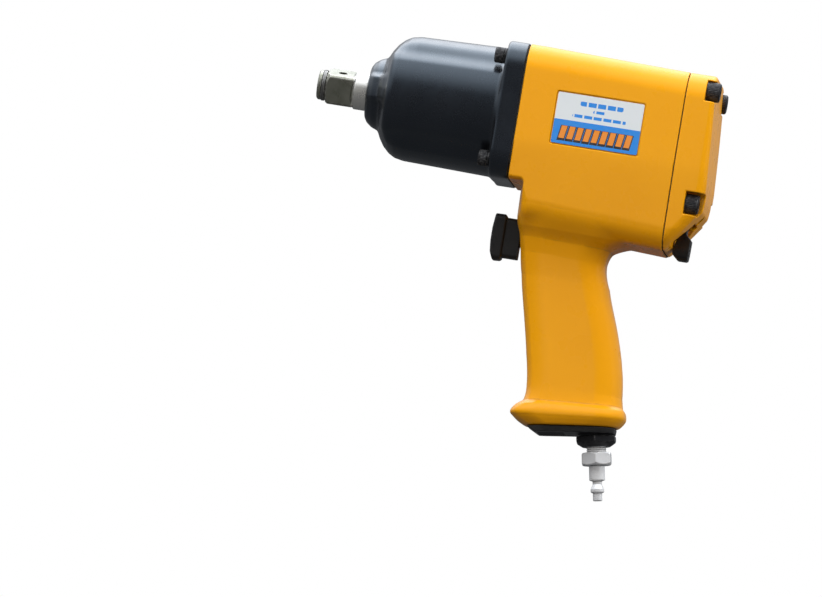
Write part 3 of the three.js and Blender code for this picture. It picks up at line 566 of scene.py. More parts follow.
CASE_NOSE = [(32, 0), (32, 16.2), (33.6, 18.9), (37, 21.5), (40.8, 22.9)]
CASE_TOP = CASE_NOSE + [(42, 24.4), (43.9, 28.3), (46.8, 32.5), (50.4, 35.9), (54.3, 38.1), (60, 39.2),
                        (122.8, 40.9), (122.8, 0)]
CASE_SIDE = CASE_NOSE + [(42.2, 25), (43.6, 30), (45.2, 34.4), (46.2, 36.7), (47.4, 37.9), (49.4, 38.6),
                         (60, 39.2), (122.8, 40.9), (122.8, 0)]
LUG_PROFILE = [(33.4, 0), (33.4, 18.3), (36, 22.6), (39.5, 24.6), (43, 29.5), (46, 32), (52, 32), (52, 0)]
FLANGE_LENGTH = 12.7
LUG_BOTTOM, LUG_TOP = -5.9, 8.9
VALLEY_DEPTH, VALLEY_REACH = 1.5, 0.27  # the reach is an angle either way, in radians


def case_distance():
    """A barrel with four shallow valleys on the diagonals, a lug at each side and a square flange."""
    above, beside = turned(CASE_TOP, 0.5), turned(CASE_SIDE, 0.45)
    lug = Section(LUG_PROFILE, 0.9)
    flange_start = CASE_HIGH[0] - FLANGE_LENGTH

    def distance(x, y, z):
        rho = np.hypot(y, z)
        off_diagonal = np.abs(np.mod(np.arctan2(z, y), np.pi / 2) - np.pi / 4)
        valley = VALLEY_DEPTH * waves(np.clip(off_diagonal / VALLEY_REACH, 0, 1), 2.0)
        reach = rho + valley * smooth_step(x, 41.0, 52.0)
        upright = smooth_step(np.abs(z) / np.maximum(rho, 1.0), 0.62, 0.96)
        barrel = upright * above(x, reach) + (1 - upright) * beside(x, reach)
        lugs = round_both(lug(x, np.abs(y)), slab(z, LUG_BOTTOM, LUG_TOP), 2.0)
        made = round_join(barrel, lugs, 3.4)
        square = rectangle(y, z, HALF, HALF, 17.0)
        flange = round_both(round_both(square, flange_start - x, 2.2), x - CASE_HIGH[0], 0.5)
        made = round_join(made, flange, 3.0)
        for side, up in FRONT_SCREWS:
            head_room = both(rod(y, z, side, up, 6.1), slab(x, 100.0, flange_start))
            made = round_cut(made, head_room, 0.7)
            made = hollowed(made, rod(y, z, side, up, FRONT_SCREW_HOLE))
        bushing_room = both(rho - 15.8, slab(x, 34.7, 60.5))
        hammer_room = both(rho - 33.5, slab(x, 59.5, 140.0))
        made = hollowed(made, bushing_room, hammer_room)
        shaft_hole = both(rho - 12.6, x - 60.0)
        return round_cut(made, shaft_hole, 0.6)

    return distance


# ---- motor housing and handle

WAIST = -20.0  # below this height the sides lean in
LOWER_HALF = 38.5  # half the body's width near its bottom
LEAN_END = 15.0  # above the body's bottom, where the sides have come in that far
KEEL_BEND = 150.0  # the body's bottom is level in front of this place, and slopes down behind it
KEEL_START = BODY_LOW[0] + 9.9  # in front of this place is only the collar behind the flange
HANDLE_TOP = -45.0  # the handle ends here, inside the body
PLATE_RECESS = -41.6  # the floor of the recess for the name plate
HANDLE_LEVELS = np.array([
    # front x, front z, rear x, rear z, half width, front radius, rear radius
    (139.8, -50, 212, -50, 31, 12, 16),
    (140.2, -69, 207, -70.5, 28, 12, 16),
    (141, -75, 198, -76.5, 24.5, 12, 15),
    (142.8, -84, 196, -86, 21.3, 12, 15),
    (145.1, -98, 200.3, -99, 18.8, 12, 15),
    (151, -122, 209.8, -122.5, 18.6, 12, 15),
    (157, -147, 217.4, -146.6, 18.8, 12, 15),
    (160.6, -166, 220.1, -165.5, 19.2, 12, 15),
    (160.2, -175.5, 221, -171.2, 20, 12, 15),
    (155.6, -178.8, 223.2, -173.4, 22.6, 13, 16),
    (152.5, -183, 224.1, -176.6, 24.2, 14, 17),
    (153.2, -186.3, 223.9, -179.4, 24, 14, 17),
    (163, -191.2, 220.6, -183.9, 20.5, 13, 16),
])


def housing_size(x):
    """Half width, top and bottom of the housing at a station along X."""
    share = (x - BODY_LOW[0]) / (BODY_HIGH[0] - BODY_LOW[0])
    slope = np.maximum(0, (x - KEEL_BEND) / (BODY_HIGH[0] - KEEL_BEND))
    return HALF - 0.9 * share, HALF + 0.1 - 2.4 * share, -67.5 - 4.2 * slope


def deep_section(x, y, z):
    """The body across X: a tall shape with rounded corners, and narrower below its waist."""
    half, top, bottom = housing_size(x)
    fall = (WAIST - z) / (WAIST - bottom - LEAN_END)
    eased = np.minimum(0.5 * (fall + np.sqrt(fall * fall + 0.012)), 1.1)
    half = half - (half - LOWER_HALF) * eased
    middle = (top + bottom) / 2
    radius = 16.0 + np.tanh((z - middle) / 6.0)
    return rectangle(y, z - middle, half, (top - bottom) / 2, radius)


def handle_tables():
    """The handle's levels with places smoothly filled in between them."""
    samples = 40
    last = len(HANDLE_LEVELS) - 1
    places = np.linspace(0, last, last * samples + 1)
    columns = [np.interp(places, np.arange(last + 1), column) for column in HANDLE_LEVELS.T]
    return places, blurred(np.stack(columns, 1), 0.34 * samples)


HANDLE_PLACES, HANDLE_TABLE = handle_tables()


def level_height(level, x):
    """How high a level of the handle is at a place on X."""
    front_x, front_z, rear_x, rear_z = level[:4]
    return front_z + (rear_z - front_z) * (x - front_x) / (rear_x - front_x)


def handle_distance(x, y, z):
    heights = [level_height(level, x) for level in HANDLE_LEVELS]
    place = sum(np.clip((above - z) / (above - below), 0, 1) for above, below in zip(heights, heights[1:]))
    front, _, rear, _, half, front_radius, rear_radius = (
        np.interp(place, HANDLE_PLACES, column) for column in HANDLE_TABLE.T)
    along = x - (front + rear) / 2
    length = (rear - front) / 2
    radius = np.where(along < 0, front_radius, rear_radius)
    sides = rectangle(along, y, length, half, radius - 9.0)
    corners = 0.66 * (np.abs(along) - length) + 0.75 * (np.abs(y) - half) + 0.43 * radius
    sides = round_both(sides, corners, 5.0)
    return both(round_both(0.96 * sides, heights[-1] - z, 1.2), z - HANDLE_TOP)


def body_distance(x, y, z):
    """The casting without its holes."""
    made = round_both(deep_section(x, y, z), BODY_LOW[0] - x, 0.5)
    collar = rectangle(y, z, HALF + 0.6, HALF, 9.0)
    before_keel = round_both(x - KEEL_START, -collar, 2.5)
    made = round_cut(made, before_keel, 0.5 + 4.5 * smooth_step(-z, 45.0, 57.0))
    made = round_both(made, x - BODY_HIGH[0], 0.25)
    return round_join(made, handle_distance(x, y, z), 8.0)


def plate_outline(x, z, margin, radius):
    """The name plate's outline with a margin round it."""
    middle, half = (PLATE_LOW + PLATE_HIGH) / 2, (PLATE_HIGH - PLATE_LOW) / 2 + margin
    return rectangle(x - middle[0], z - middle[2], half[0], half[2], radius)


def housing_distance(x, y, z):
    made = body_distance(x, y, z)
    made = round_cut(made, both(plate_outline(x, z, 0.7, 1.2), y - PLATE_RECESS), 0.35)
    made = hollowed(made, rod(y, z, 0, 0, 36.3))
    for side, up in FRONT_SCREWS:
        made = hollowed(made, both(rod(y, z, side, up, FRONT_SCREW_HOLE), x - 149.0))
    for side, up in REAR_SCREWS:
        made = hollowed(made, both(rod(y, z, side, up, REAR_SCREW_HOLE), REAR_HOLES_END - x))
    pocket = both(rectangle(y, z - TRIGGER_POCKET_HEIGHT, 6.5, 13.0, 3.0), x - 147.6)
    made = round_cut(made, pocket, 0.8)
    t, w = along_inlet(x, z)
    return hollowed(
        made,
        both(rod(y, z, 0, TRIGGER_HEIGHT, 8.3), slab(x, 145.0, 164.0)),  # for the trigger bushing
        both(rod(y, z, 0, TRIGGER_HEIGHT, 9.3), slab(x, 163.9, 188.8)),  # for the throttle
        both(rod(y, z, 0, VALVE_HEIGHT, VALVE_HOLE), REAR_HOLES_END - x),
        both(rod(y, z, 0, DETENT_HEIGHT, DETENT_HOLE), 224.5 - x),
        both(np.hypot(y, w) - 10.8, -29.0 - t),  # for the inlet bushing
        both(rectangle(x - 176.0, y, 9.0, 12.0, 5.0), slab(z, -200.0, -150.0)),  # exhaust
    )


# ---- name plate

PALE, BLUE, ORANGE, DARK = range(4)  # the plate's inks
PLATE_BARS = [
    # middle and half size, as shares of the plate's width and height
    (0.52, 0.83, 0.25, 0.045), (0.5, 0.7, 0.07, 0.028), (0.51, 0.58, 0.31, 0.032),
]
PLATE_SHAPE = 1.7  # roughly the plate's width over its height
TILES = 9


def plate_tone(u, v):
    """Which ink is at a place on the plate, as shares of its width and height, with v up: broken blue
    bars on a pale upper half, and a row of dark-edged orange tiles on a blue lower half."""
    tone = np.where(v > 0.475, PALE, BLUE)
    for middle_u, middle_v, half_u, half_v in PLATE_BARS:
        bar = rectangle((u - middle_u) * PLATE_SHAPE, v - middle_v, half_u * PLATE_SHAPE, half_v,
                        half_v * 0.8)
        solid = np.abs(np.mod(u * 9.0 + middle_v * 7, 1.0) - 0.5) < 0.42
        tone = np.where((bar < 0) & solid, BLUE, tone)
    lean = u - 0.09 * (v - 0.235)
    tile = (lean - 0.075) / 0.85 * TILES
    in_row = (tile > 0) & (tile < TILES)
    off_middle = np.abs(np.mod(tile, 1.0) - 0.5)
    tone = np.where(in_row & (off_middle < 0.47) & (np.abs(v - 0.215) < 0.15), DARK, tone)
    return np.where(in_row & (off_middle < 0.34) & (np.abs(v - 0.235) < 0.125), ORANGE, tone)


def add_name_plate():
    """A thin plate with rounded corners, printed in four inks."""
    low, high = PLATE_LOW, PLATE_HIGH

    def distance(x, y, z):
        return round_both(plate_outline(x, z, 0, 1.1), slab(y, low[1], high[1]), 0.16)

    mesh = sculpted("name_plate_print", distance, low, high, 0.22)
    tones = [MATERIALS["printed_label"], ink("ink_blue", (0.012, 0.245, 0.76)),
             ink("ink_orange", (0.85, 0.27, 0.02)), ink("ink_dark", (0.03, 0.028, 0.03))]
    for tone in tones:
        mesh.materials.append(tone)
    centres = np.empty(3 * len(mesh.polygons), np.float32)
    mesh.polygons.foreach_get("center", centres)
    centres = centres.reshape(-1, 3) / MM
    u = (centres[:, 0] - low[0]) / (high[0] - low[0])
    v = (centres[:, 2] - low[2]) / (high[2] - low[2])
    mesh.polygons.foreach_set("material_index", plate_tone(u, v).astype(np.int32))
    add("name_plate_print", mesh, "printed_label", "name_plate")


# ---- back cover and reverse lever

COVER_FACE = 231.72  # the cover's front face. Only its lip goes further forward.
COVER_SIDE = [
    # [x, z], with the first and last point in front of the face
    (226.9, 60), (248.8, 60), (248.8, 43), (249.2, 35), (251.6, 0), (253.2, -28),
    (253.2, -38), (252.5, -44.5), (238.6, -64), (235.8, -69.2), (235.8, -90), (226.9, -90),
]
NOTCHES = {True: (6.6, 243.4), False: (7.1, 241.4)}  # half height and screw seat, above and below the axis
HOLE_END = 237.0  # the holes in the cover's front face end here


def cover_distance():
    side = Section(COVER_SIDE, 0.8)

    def distance(x, y, z):
        rho = np.hypot(y, z)
        outside = deep_section(np.full_like(x, BODY_HIGH[0]), y, z)
        made = round_both(outside, side(x, z), np.clip(4.6 - 0.06 * z, 2.6, 6.5))
        made = round_both(made, COVER_FACE - x, 0.25)
        lip = both(np.abs(rho - 30.95) - 4.95, slab(x, COVER_LOW[0], 233.0))
        made = np.minimum(made, lip)
        for place, up in REAR_SCREWS:
            reach, seat = NOTCHES[up > 0]
            beside = np.abs(place) - 6.9 - y * np.sign(place)
            notch = both(round_both(beside, np.abs(z - up) - reach, 2.5), seat - x)
            made = round_cut(made, notch, 0.7)
            made = hollowed(made, rod(y, z, place, up, REAR_SCREW_HOLE))
        # room for the lever, wide enough for both its limits
        from_valve = rod(y, z, 0, VALVE_HEIGHT, 0)
        fan = both(0.613 * np.abs(y) + 0.79 * (z - VALVE_HEIGHT - 4.0), from_valve - 38.0)
        room = both(np.minimum(fan, from_valve - 13.2), slab(x, 236.0, 247.6))
        made = round_cut(made, room, 0.5)
        return hollowed(made, both(from_valve - VALVE_HOLE, x - HOLE_END),
                        both(from_valve - 4.0, 246.0 - x),
                        both(rod(y, z, 0, DETENT_HEIGHT, DETENT_HOLE), x - HOLE_END))

    return distance


LEVER_SIDE = [
    (237.6, -39.5), (243.2, -39.5), (243.4, -57.6), (246.9, -61), (246.5, -73.6), (245.4, -74.6),
    (240.4, -74.6), (236.4, -71), (236.4, -67.6), (237.6, -62.5),
]
LEVER_FACE = [
    (0, -50), (5.6, -57), (8, -68), (7.6, -72), (5.6, -74.4), (0, -74.7), (-5.6, -74.4),
    (-7.6, -72), (-8, -68), (-5.6, -57),
]
LEVER_GRIP = -67.5  # height of the middle of its ribs


def lever_distance():
    side, face = Section(LEVER_SIDE, 0.25), Section(LEVER_FACE, 0.5)

    def distance(x, y, z):
        hub = rod(y, z, 0, VALVE_HEIGHT, 8.4)
        made = round_both(side(x, z), round_join(hub, face(y, z), 2.0), 0.7)
        groove = 0.45 * np.maximum(0, np.cos(2 * np.pi * (z - LEVER_GRIP) / 3.0))
        groove = groove * smooth_step(x, 244.5, 245.5) * smooth_step(-np.abs(y), -6.5, -5.5)
        made = made + groove * (np.abs(z - LEVER_GRIP) < 5.3)
        dimple = both(rod(y, z, 0, DETENT_HEIGHT, 1.8), x - 238.2)
        return hollowed(made, rod(y, z, 0, VALVE_HEIGHT, 2.4), dimple)

    return distance


# ---- screws and washers

SCREW_KINDS = [
    # name, which way its shank points on X, head length, shank radius
    ("front_screw", 1, 5.7, 3.0),
    ("rear_screw", -1, 8.6, 4.0),
]
HALF_TURN = Matrix.Rotation(math.pi, 4, "Z")
THREAD_START = 8.0  # behind the head
THREAD_DEPTH = 0.22


def screw_distance(head_length, head_radius, shank_length, shank_radius):
    """Socket head cap screw with its head's end at 0 and its shank along +X."""
    bevel = 0.14 * head_radius
    end = head_length + shank_length
    thread_start = head_length + THREAD_START
    shape = turned([
        (0.0, 0.0), (0.0, head_radius - bevel), (bevel, head_radius), (head_length, head_radius),
        (head_length, shank_radius), (end - 0.6, shank_radius), (end, shank_radius - 0.5), (end, 0.0),
    ], 0.12, 0.1)

    def distance(x, y, z):
        rho = np.hypot(y, z)
        angle = np.arctan2(z, y)
        knurl = 0.1 * (1 - np.cos(36 * angle)) * smooth_step(x, bevel, bevel + 0.4)
        knurl = knurl * smooth_step(-x, -head_length + 0.5, -head_length + 1.0)
        made = shape(x, rho + knurl)
        thread = THREAD_DEPTH * np.cos(2 * np.pi * x + angle)
        thread = thread * smooth_step(x, thread_start, thread_start + 1.0) + THREAD_DEPTH
        made = made + np.where(rho > shank_radius - 1.0, 0.5 * thread, 0) * (x > thread_start)
        socket = both(hexagon(y, z, 0.5 * head_radius), x - 0.55 * head_length)
        return round_cut(made, socket, 0.15)

    return distance


def add_screws():
    for kind, direction, head_length, shank_radius in SCREW_KINDS:
        low, high = span(f"{kind}_1")
        length, head_radius = high[0] - low[0], (high[1] - low[1]) / 2
        mesh = sculpted(kind, screw_distance(head_length, head_radius, length - head_length, shank_radius),
                        [0, -head_radius, -head_radius], [length, head_radius, head_radius], 0.24)
        for number in range(1, 5):
            low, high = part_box(f"{kind}_{number}")
            middle = (low + high) / 2
            place = Matrix.Translation((low.x if direction > 0 else high.x, middle.y, middle.z))
            if direction < 0:
                place = place @ HALF_TURN
            place = place @ Matrix.Rotation(0.9 * number, 4, "X")
            add(f"{kind}_{number}_cap", mesh, "black_oxide", f"{kind}_{number}", place=place)


def add_lever_screw():
    head_length, head_radius, shank_length, shank_radius = 2.9, 3.4, 10.5, 1.4
    mesh = sculpted("lever_screw", screw_distance(head_length, head_radius, shank_length, shank_radius),
                    [0, -head_radius, -head_radius], [head_length + shank_length, head_radius, head_radius],
                    0.18)
    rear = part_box("lever_screw")[1].x
    place = Matrix.Translation((rear, 0, VALVE_HEIGHT * MM)) @ HALF_TURN
    add("lever_screw_cap", mesh, "black_oxide", "lever_screw", "reverse_lever", place)


WASHER_RADIUS, WASHER_HALF_WIDTH = 4.075, 0.825
WASHER_MIDDLE, WASHER_HALF_THICKNESS = 0.65, 0.52


def washer_distance(x, y, z):
    """Split lock washer about the X axis, with its ends bent a little apart."""
    off_ring = np.abs(np.hypot(y, z) - WASHER_RADIUS) - WASHER_HALF_WIDTH
    bend = 0.12 * np.arctan2(y, z) / np.pi
    ring = round_both(off_ring, np.abs(x - WASHER_MIDDLE - bend) - WASHER_HALF_THICKNESS, 0.15)
    gap = both(np.abs(y + 0.5 * (x - WASHER_MIDDLE)) - 0.6, -z)
    return hollowed(ring, gap)


def add_washers():
    mesh = sculpted("front_washer", washer_distance, [0, -5, -5], [1.3, 5, 5], 0.14)
    for number, (side, up) in enumerate(FRONT_SCREWS, 1):
        node_name = f"front_washer_{number}"
        place = Matrix.Translation((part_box(node_name)[0].x, side * MM, up * MM))
        add(f"{node_name}_split", mesh, "black_oxide", node_name, place=place)


# ---- drive

DRIVE_UP = np.array(MOUNTS["drive_flat"]["axis"])  # the square's upper flat faces this way
TIP_PROFILE = [(0, 0), (0, 8.3), (1, 9.3), (2.5, 9.3), (2.5, 7.2), (5.3, 7.2), (5.3, 9.3),
               (6.8, 9.3), (6.8, 0)]
CORNERS_PROFILE = [(5.8, 0), (5.8, 10.4), (7.6, 12.5), (23.3, 12.5), (23.3, 0)]
SHAFT_PROFILE = [
    (22.3, 0), (22.3, 10), (23.9, 12), (60.5, 12), (60.5, 14.8), (64, 14.8), (64, 11.5),
    (98.8, 11.5), (98.8, 6), (105, 6), (105, 0),
]
HALF_SQUARE = 19.05 / 2
CROSS_HOLE_PLACE, CROSS_HOLE_RADIUS = 14.6, 2.75
RING_RADIUS, RING_HALF_WIDTH = 9.0, 0.7
RING_PLACE, RING_HALF_THICKNESS = 3.9, 1.1


def drive_axes(y, z):
    """A place across the square's upper flat, and up from the axis towards it."""
    return y * DRIVE_UP[2] - z * DRIVE_UP[1], y * DRIVE_UP[1] + z * DRIVE_UP[2]


def anvil_distance():
    tip = turned(TIP_PROFILE, 0.14, 0.1)
    corners = turned(CORNERS_PROFILE, 0.2)
    shaft = turned(SHAFT_PROFILE, 0.25)

    def distance(x, y, z):
        across, up = drive_axes(y, z)
        rho = np.hypot(y, z)
        square = rectangle(across, up, HALF_SQUARE, HALF_SQUARE, 0.5)
        square = round_both(square, corners(x, rho), 0.35)
        made = round_join(square, shaft(x, rho), 0.8)
        made = np.minimum(made, tip(x, rho))
        hole = np.hypot(x - CROSS_HOLE_PLACE, across) - CROSS_HOLE_RADIUS
        made = round_cut(made, hole, 0.15)
        lobes = both(both(np.abs(y) - 3.2, rho - 14.8), slab(x, 63.0, 98.6))
        return np.minimum(made, lobes)

    return distance


def ring_distance(x, y, z):
    """The spring ring that holds a socket, with a gap above."""
    across, up = drive_axes(y, z)
    off_ring = np.abs(np.hypot(y, z) - RING_RADIUS) - RING_HALF_WIDTH
    whole = round_both(off_ring, np.abs(x - RING_PLACE) - RING_HALF_THICKNESS, 0.45)
    gap = both(np.abs(across) - 0.8, -up)
    return hollowed(whole, gap)


# ---- trigger and throttle spring

TRIGGER_SIDE = [
    (123.8, -62.6), (130, -62.4), (131, -64), (131, -90.4), (130, -91.6), (125.6, -92),
    (123.6, -87), (122.9, -80), (122.9, -72),
]
PAD_HEIGHT = -77.2


def trigger_distance():
    """A grooved pad, with a body that goes into the housing's pocket and a stem behind it."""
    side = Section(TRIGGER_SIDE, 0.3)

    def distance(x, y, z):
        pad = round_both(side(x, z), rectangle(y, z - PAD_HEIGHT, 7.5, 15.2, 4.0), 1.3)
        groove = 0.35 * waves(z - PAD_HEIGHT, 3.2)
        groove = groove * smooth_step(-x, -126.0, -124.0) * smooth_step(-np.abs(y), -6.4, -5.2)
        pad = pad + groove * smooth_step(-np.abs(z - PAD_HEIGHT), -13.0, -11.5)
        outline = rectangle(y, z - TRIGGER_POCKET_HEIGHT, 6.0, 12.5, 2.5)
        body = round_both(outline, slab(x, 130.0, 141.0), 0.4)
        stem = both(rod(y, z, 0, TRIGGER_HEIGHT, 4.6), slab(x, 140.0, 154.0))
        return np.minimum(round_join(pad, body, 0.6), stem)

    return distance


COIL_RADIUS, WIRE_RADIUS = 5.2, 0.5
COIL_TURNS, STEPS_PER_TURN, WIRE_SIDES = 4.5, 44, 14


def coil_mesh(name, start, end):
    """A wire coiled about an axis along X at the trigger's height, from start to end."""
    steps = int(COIL_TURNS * STEPS_PER_TURN)
    angle = np.linspace(0, 2 * np.pi * COIL_TURNS, steps + 1)[:, None]
    along = np.linspace(start + WIRE_RADIUS, end - WIRE_RADIUS, steps + 1)[:, None]
    around = np.linspace(0, 2 * np.pi, WIRE_SIDES, endpoint=False)[None, :]
    reach = COIL_RADIUS + WIRE_RADIUS * np.cos(around)
    points = np.stack([along + WIRE_RADIUS * np.sin(around), reach * np.cos(angle),
                       TRIGGER_HEIGHT + reach * np.sin(angle)], 2).reshape(-1, 3)
    faces = [list(range(WIRE_SIDES)), [steps * WIRE_SIDES + side for side in reversed(range(WIRE_SIDES))]]
    for step in range(steps):
        for side in range(WIRE_SIDES):
            here, beside = step * WIRE_SIDES + side, step * WIRE_SIDES + (side + 1) % WIRE_SIDES
            faces.append([here, here + WIRE_SIDES, beside + WIRE_SIDES, beside])
    mesh = bpy.data.meshes.new(name)
    mesh.from_pydata((points * MM).tolist(), [], faces)
    mesh.shade_smooth()
    return mesh


def add_throttle_spring():
    """A coil in place of the CAD spring, from the throttle valve back into the housing. It is attached to
    neither.
    """
    low, high = span("throttle_spring")
    mesh = coil_mesh("throttle_spring_coil", low[0], high[0])
    mesh.materials.append(MATERIALS[NODE_SLOTS["throttle_spring"]])
    piece = put("throttle_spring_coil", mesh)
    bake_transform(piece)
    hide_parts("throttle_spring")


# ---- exhaust deflector and air inlet

DEFLECTOR_SIDE = [(164.4, -191.4), (219.6, -184.4), (219.2, -187.9), (171, -194.6)]
LOUVRES = (-9.0, -3.0, 3.0, 9.0)  # the middles of its slots, across the tool
# profiles of [along the inlet's axis, radius]
BUSHING_PROFILE = [(-26, 0), (-26, 10.5), (-2.1, 10.5), (-2.1, 14), (0.9, 14), (4.5, 8.6),
                   (4.5, 0)]
ADAPTER_PROFILE = [(-5, 0), (-5, 6.2), (8, 6.2), (8, 9), (9.2, 10.4), (14.4, 10.4), (15.9, 8.6),
                   (15.9, 0)]
PLUG_PROFILE = [(7, 0), (7, 3.4), (16.2, 3.4), (16.2, 4.9), (25.1, 4.9), (25.8, 2.9), (27.6, 2.9),
                (30.8, 4.2), (32.6, 4.2), (33.2, 2.9), (PLUG_END, 2.9), (PLUG_END, 0)]
THREAD_PITCH = 1.35


def deflector_distance():
    side = Section(DEFLECTOR_SIDE, 0.15, 0.1)

    def distance(x, y, z):
        plan = rectangle(x - 191.45, y, 27.95, 19.0, 13.0)
        made = round_both(side(x, z), plan, 0.6)
        for middle in LOUVRES:
            made = round_cut(made, rectangle(x - 179.75, y - middle, 8.25, 2.0, 1.6), 0.3)
        _, w = along_inlet(x, z)
        return hollowed(made, np.hypot(y, w) - 11.2)

    return distance


def fitting_distance(profile, soft, step, bore, rim, nut=None, thread_end=-math.inf):
    """A turned and bored part on the inlet's axis. A nut is a hexagon from a place outward, as (place,
    apothem, edge radius)."""
    shape = turned(profile, soft, step)

    def distance(t, y, w):
        rho = np.hypot(y, w)
        turns = t / THREAD_PITCH + np.arctan2(w, y) / (2 * np.pi)
        made = shape(t, rho + 0.32 * waves(turns, 1.0) * (t < thread_end))
        if nut is not None:
            start, apothem, edge = nut
            made = round_both(made, np.where(t > start, hexagon(y, w, apothem), -50.0), edge)
        return round_cut(made, rho - bore, rim)

    return distance


def add_inlet():
    axis, side = Vector(INLET_AXIS), Vector((0, 1, 0))
    turn = Matrix((axis, side, axis.cross(side))).transposed().to_4x4()
    place = Matrix.Translation(Vector(INLET_PLACE) * MM) @ turn
    bushing = fitting_distance(BUSHING_PROFILE, 0.15, 0.2, 7.0, 0.4, nut=(-2.4, 12.0, 0.5))
    adapter = fitting_distance(ADAPTER_PROFILE, 0.12, 0.1, 3.8, 0.3, nut=(7.9, 9.0, 0.3), thread_end=7.4)
    plug = fitting_distance(PLUG_PROFILE, 0.16, 0.1, 1.9, 0.25)
    for name, distance, profile, reach, voxel, material, replaced in (
            ("inlet_bushing_hex", bushing, BUSHING_PROFILE, 14.0, 0.36, "black_oxide", "inlet_bushing"),
            ("plug_adapter_hex", adapter, ADAPTER_PROFILE, 10.6, 0.22, "nickel", "plug_adapter"),
            ("air_plug_turned", plug, PLUG_PROFILE, 4.9, 0.16, "nickel", "air_plug")):
        start, end = profile[0][0], profile[-1][0]
        mesh = sculpted(name, distance, [start, -reach, -reach], [end, reach, reach], voxel)
        add(name, mesh, material, replaced, place=place)


# ---- inner nodes, stage, light and camera

def finish_inner_nodes():
    """CAD nodes that nothing replaces take the material made for their slot."""
    for name, item in frame["nodes"].items():
        if item.hide_render:
            continue
        item.data.materials.clear()
        item.data.materials.append(MATERIALS[NODE_SLOTS[name]])


FLOOR_REACH = 2.1
FLOOR_DROP = 0.24  # below the tool


def add_stage():
    """A pale floor that gives a little light of its own, and that no reflection shows."""
    reach, height = FLOOR_REACH, CAD_BOX[0].z - FLOOR_DROP
    corners = [(-reach, -reach, height), (reach, -reach, height), (reach, reach, height),
               (-reach, reach, height)]
    mesh = bpy.data.meshes.new("floor")
    mesh.from_pydata(corners, [], [(0, 1, 2, 3)])
    floor = put("floor", mesh)
    made, tree = start_material("floor", roughness=0.9, specular_ior_level=0.1,
                                emission_color=grey(1.0), emission_strength=0.62)
    base = blend(tree, noise(tree, 6, 3), grey(0.4), grey(0.43))
    mesh.materials.append(finished(made, base))
    floor.visible_glossy = False
    floor.visible_diffuse = False


def add_area_light(name, place, size, power, tint):
    """A round lamp that points at the tool's middle, and that no reflection shows."""
    data = bpy.data.lights.new(name, "AREA")
    data.color = tint
    data.shape, data.size, data.energy = "DISK", size, power
    light = put(name, data)
    light.visible_glossy = False
    light.location = place
    light.rotation_mode = "QUATERNION"
    light.rotation_quaternion = (LAMPS_AIM - Vector(place)).to_track_quat("-Z", "Y")


LAMPS_AIM = Vector((0.17, 0.0, -0.05))
LAMPS = [
    # name, place, size, power, tint
    ("key", (-0.35, -1.1, 1.1), 0.8, 9.5, (1.0, 1.0, 0.98)),
    ("fill", (-0.2, -1.6, -0.1), 1.4, 10.5, (1.0, 0.92, 0.84)),
    ("side", (1.5, -0.12, 0.25), 0.7, 9.0, (1.0, 0.97, 0.92)),
]
# the room's soft panels: which way each lies, the cosines to that way where it begins and is full, strength
SIDE_PANELS = [
    ((0, 0.95, 0.3), 0.15, 0.95, 0.3),
    ((-0.92, 0, 0.38), 0.3, 0.95, 0.7),
    ((0.95, 0, 0.3), 0.45, 1, 0.25),
    ((0, -0.97, 0.25), 0.2, 0.95, 0.05),
]
OVERHEAD_PANELS = [
    ((0, -0.1, 0.995), 0.42, 0.97, 1.5),
    ((-0.12, 0.45, 0.88), 0.7, 0.96, 2.2),
]
ABOVE_HORIZON = ((0.0, 0.0, 1.0), -0.05, 0.25, 1.0)
ROOM_LEVEL = 0.1


def add_light():
    """Three lamps, and a room that lights the tool but looks plain white to the camera."""
    world = bpy.data.worlds.new("studio")
    bpy.context.scene.world = world
    world.use_nodes = True
    tree = world.node_tree
    direction = node(tree, "TexCoord").outputs["Generated"]

    def panel(way, edge, full, strength):
        facing = node(tree, "VectorMath", {0: direction, 1: way}, operation="DOT_PRODUCT").outputs["Value"]
        return node(tree, "MapRange", {
            "Value": facing, "From Min": edge, "From Max": full, "To Min": 0.0, "To Max": strength,
        }, interpolation_type="SMOOTHSTEP").outputs["Result"]

    def total(first, *others):
        for other in others:
            first = node(tree, "Math", {0: first, 1: other}, operation="ADD").outputs[0]
        return first

    sides = total(*[panel(*each) for each in SIDE_PANELS])
    overhead = total(*[panel(*each) for each in OVERHEAD_PANELS])
    level = total(overhead, product(tree, sides, panel(*ABOVE_HORIZON)), ROOM_LEVEL)
    red, blue = product(tree, level, 0.97), product(tree, level, 1.06)
    glow = node(tree, "CombineColor", {0: red, 1: level, 2: blue}).outputs["Color"]
    seen = node(tree, "LightPath").outputs["Is Camera Ray"]
    shown = blend(tree, seen, glow, grey(1.0))
    tree.links.new(shown, tree.nodes["Background"].inputs["Color"])
    for lamp in LAMPS:
        add_area_light(*lamp)


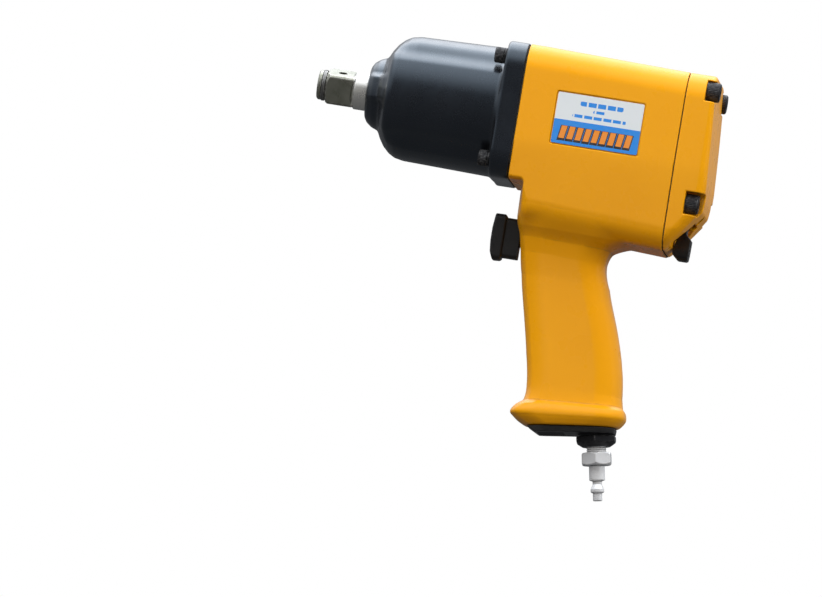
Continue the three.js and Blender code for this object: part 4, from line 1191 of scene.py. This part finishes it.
AZIMUTH, ELEVATION, ROLL = math.radians(5.6), math.radians(-4.6), math.radians(9.45)
PHOTO_SIZE = (822.0, 597.0)  # pixels
ORIGIN_IN_PHOTO = (318.6, 84.3)  # pixels from its upper left corner to the shared frame's origin
PIXELS_PER_METRE = 1600.0


def add_camera():
    """A long lens that looks up a little, turned so that the drive points up to the left."""
    right = Vector((math.cos(AZIMUTH), math.sin(AZIMUTH), 0))
    back = Vector((math.sin(AZIMUTH) * math.cos(ELEVATION), -math.cos(AZIMUTH) * math.cos(ELEVATION),
                   math.sin(ELEVATION)))
    up = back.cross(right)
    across = right * math.cos(ROLL) + up * math.sin(ROLL)
    upward = up * math.cos(ROLL) - right * math.sin(ROLL)
    data = bpy.data.cameras.new("camera")
    data.lens, data.sensor_width = 600.0, 36.0
    data.dof.use_dof = False
    camera = put("camera", data)
    away = PHOTO_SIZE[0] / PIXELS_PER_METRE * data.lens / data.sensor_width
    middle = (across * (PHOTO_SIZE[0] / 2 - ORIGIN_IN_PHOTO[0])
              - upward * (PHOTO_SIZE[1] / 2 - ORIGIN_IN_PHOTO[1])) / PIXELS_PER_METRE
    turn = Matrix((across, upward, back)).transposed().to_4x4()
    camera.matrix_world = Matrix.Translation(middle + back * away) @ turn
    data.clip_end = 100.0
    bpy.context.scene.camera = camera
    bpy.context.scene.view_settings.view_transform = "Standard"


add_camera()
add_light()
add_stage()
add_sculpted("hammer_case_cast", case_distance(), 0.6, "black_enamel", "hammer_case")
add_sculpted("motor_housing_cast", housing_distance, 0.68, "yellow_paint", "motor_housing")
add_name_plate()
add_sculpted("back_cover_cast", cover_distance(), 0.62, "yellow_paint", "back_cover")
add_sculpted("reverse_lever_moulded", lever_distance(), 0.3, "black_plastic", "reverse_lever",
             "reverse_lever")
add_screws()
add_lever_screw()
add_washers()
add_sculpted("anvil_forged", anvil_distance(), 0.32, "drive_steel", "anvil", "anvil")
add_sculpted("socket_ring_wire", ring_distance, 0.16, "dark_steel", "socket_ring", "anvil")
add_sculpted("trigger_moulded", trigger_distance(), 0.3, "black_plastic", "trigger_button", "trigger")
add_throttle_spring()
add_sculpted("deflector_moulded", deflector_distance(), 0.34, "black_plastic", "exhaust_deflector")
add_inlet()
finish_inner_nodes()
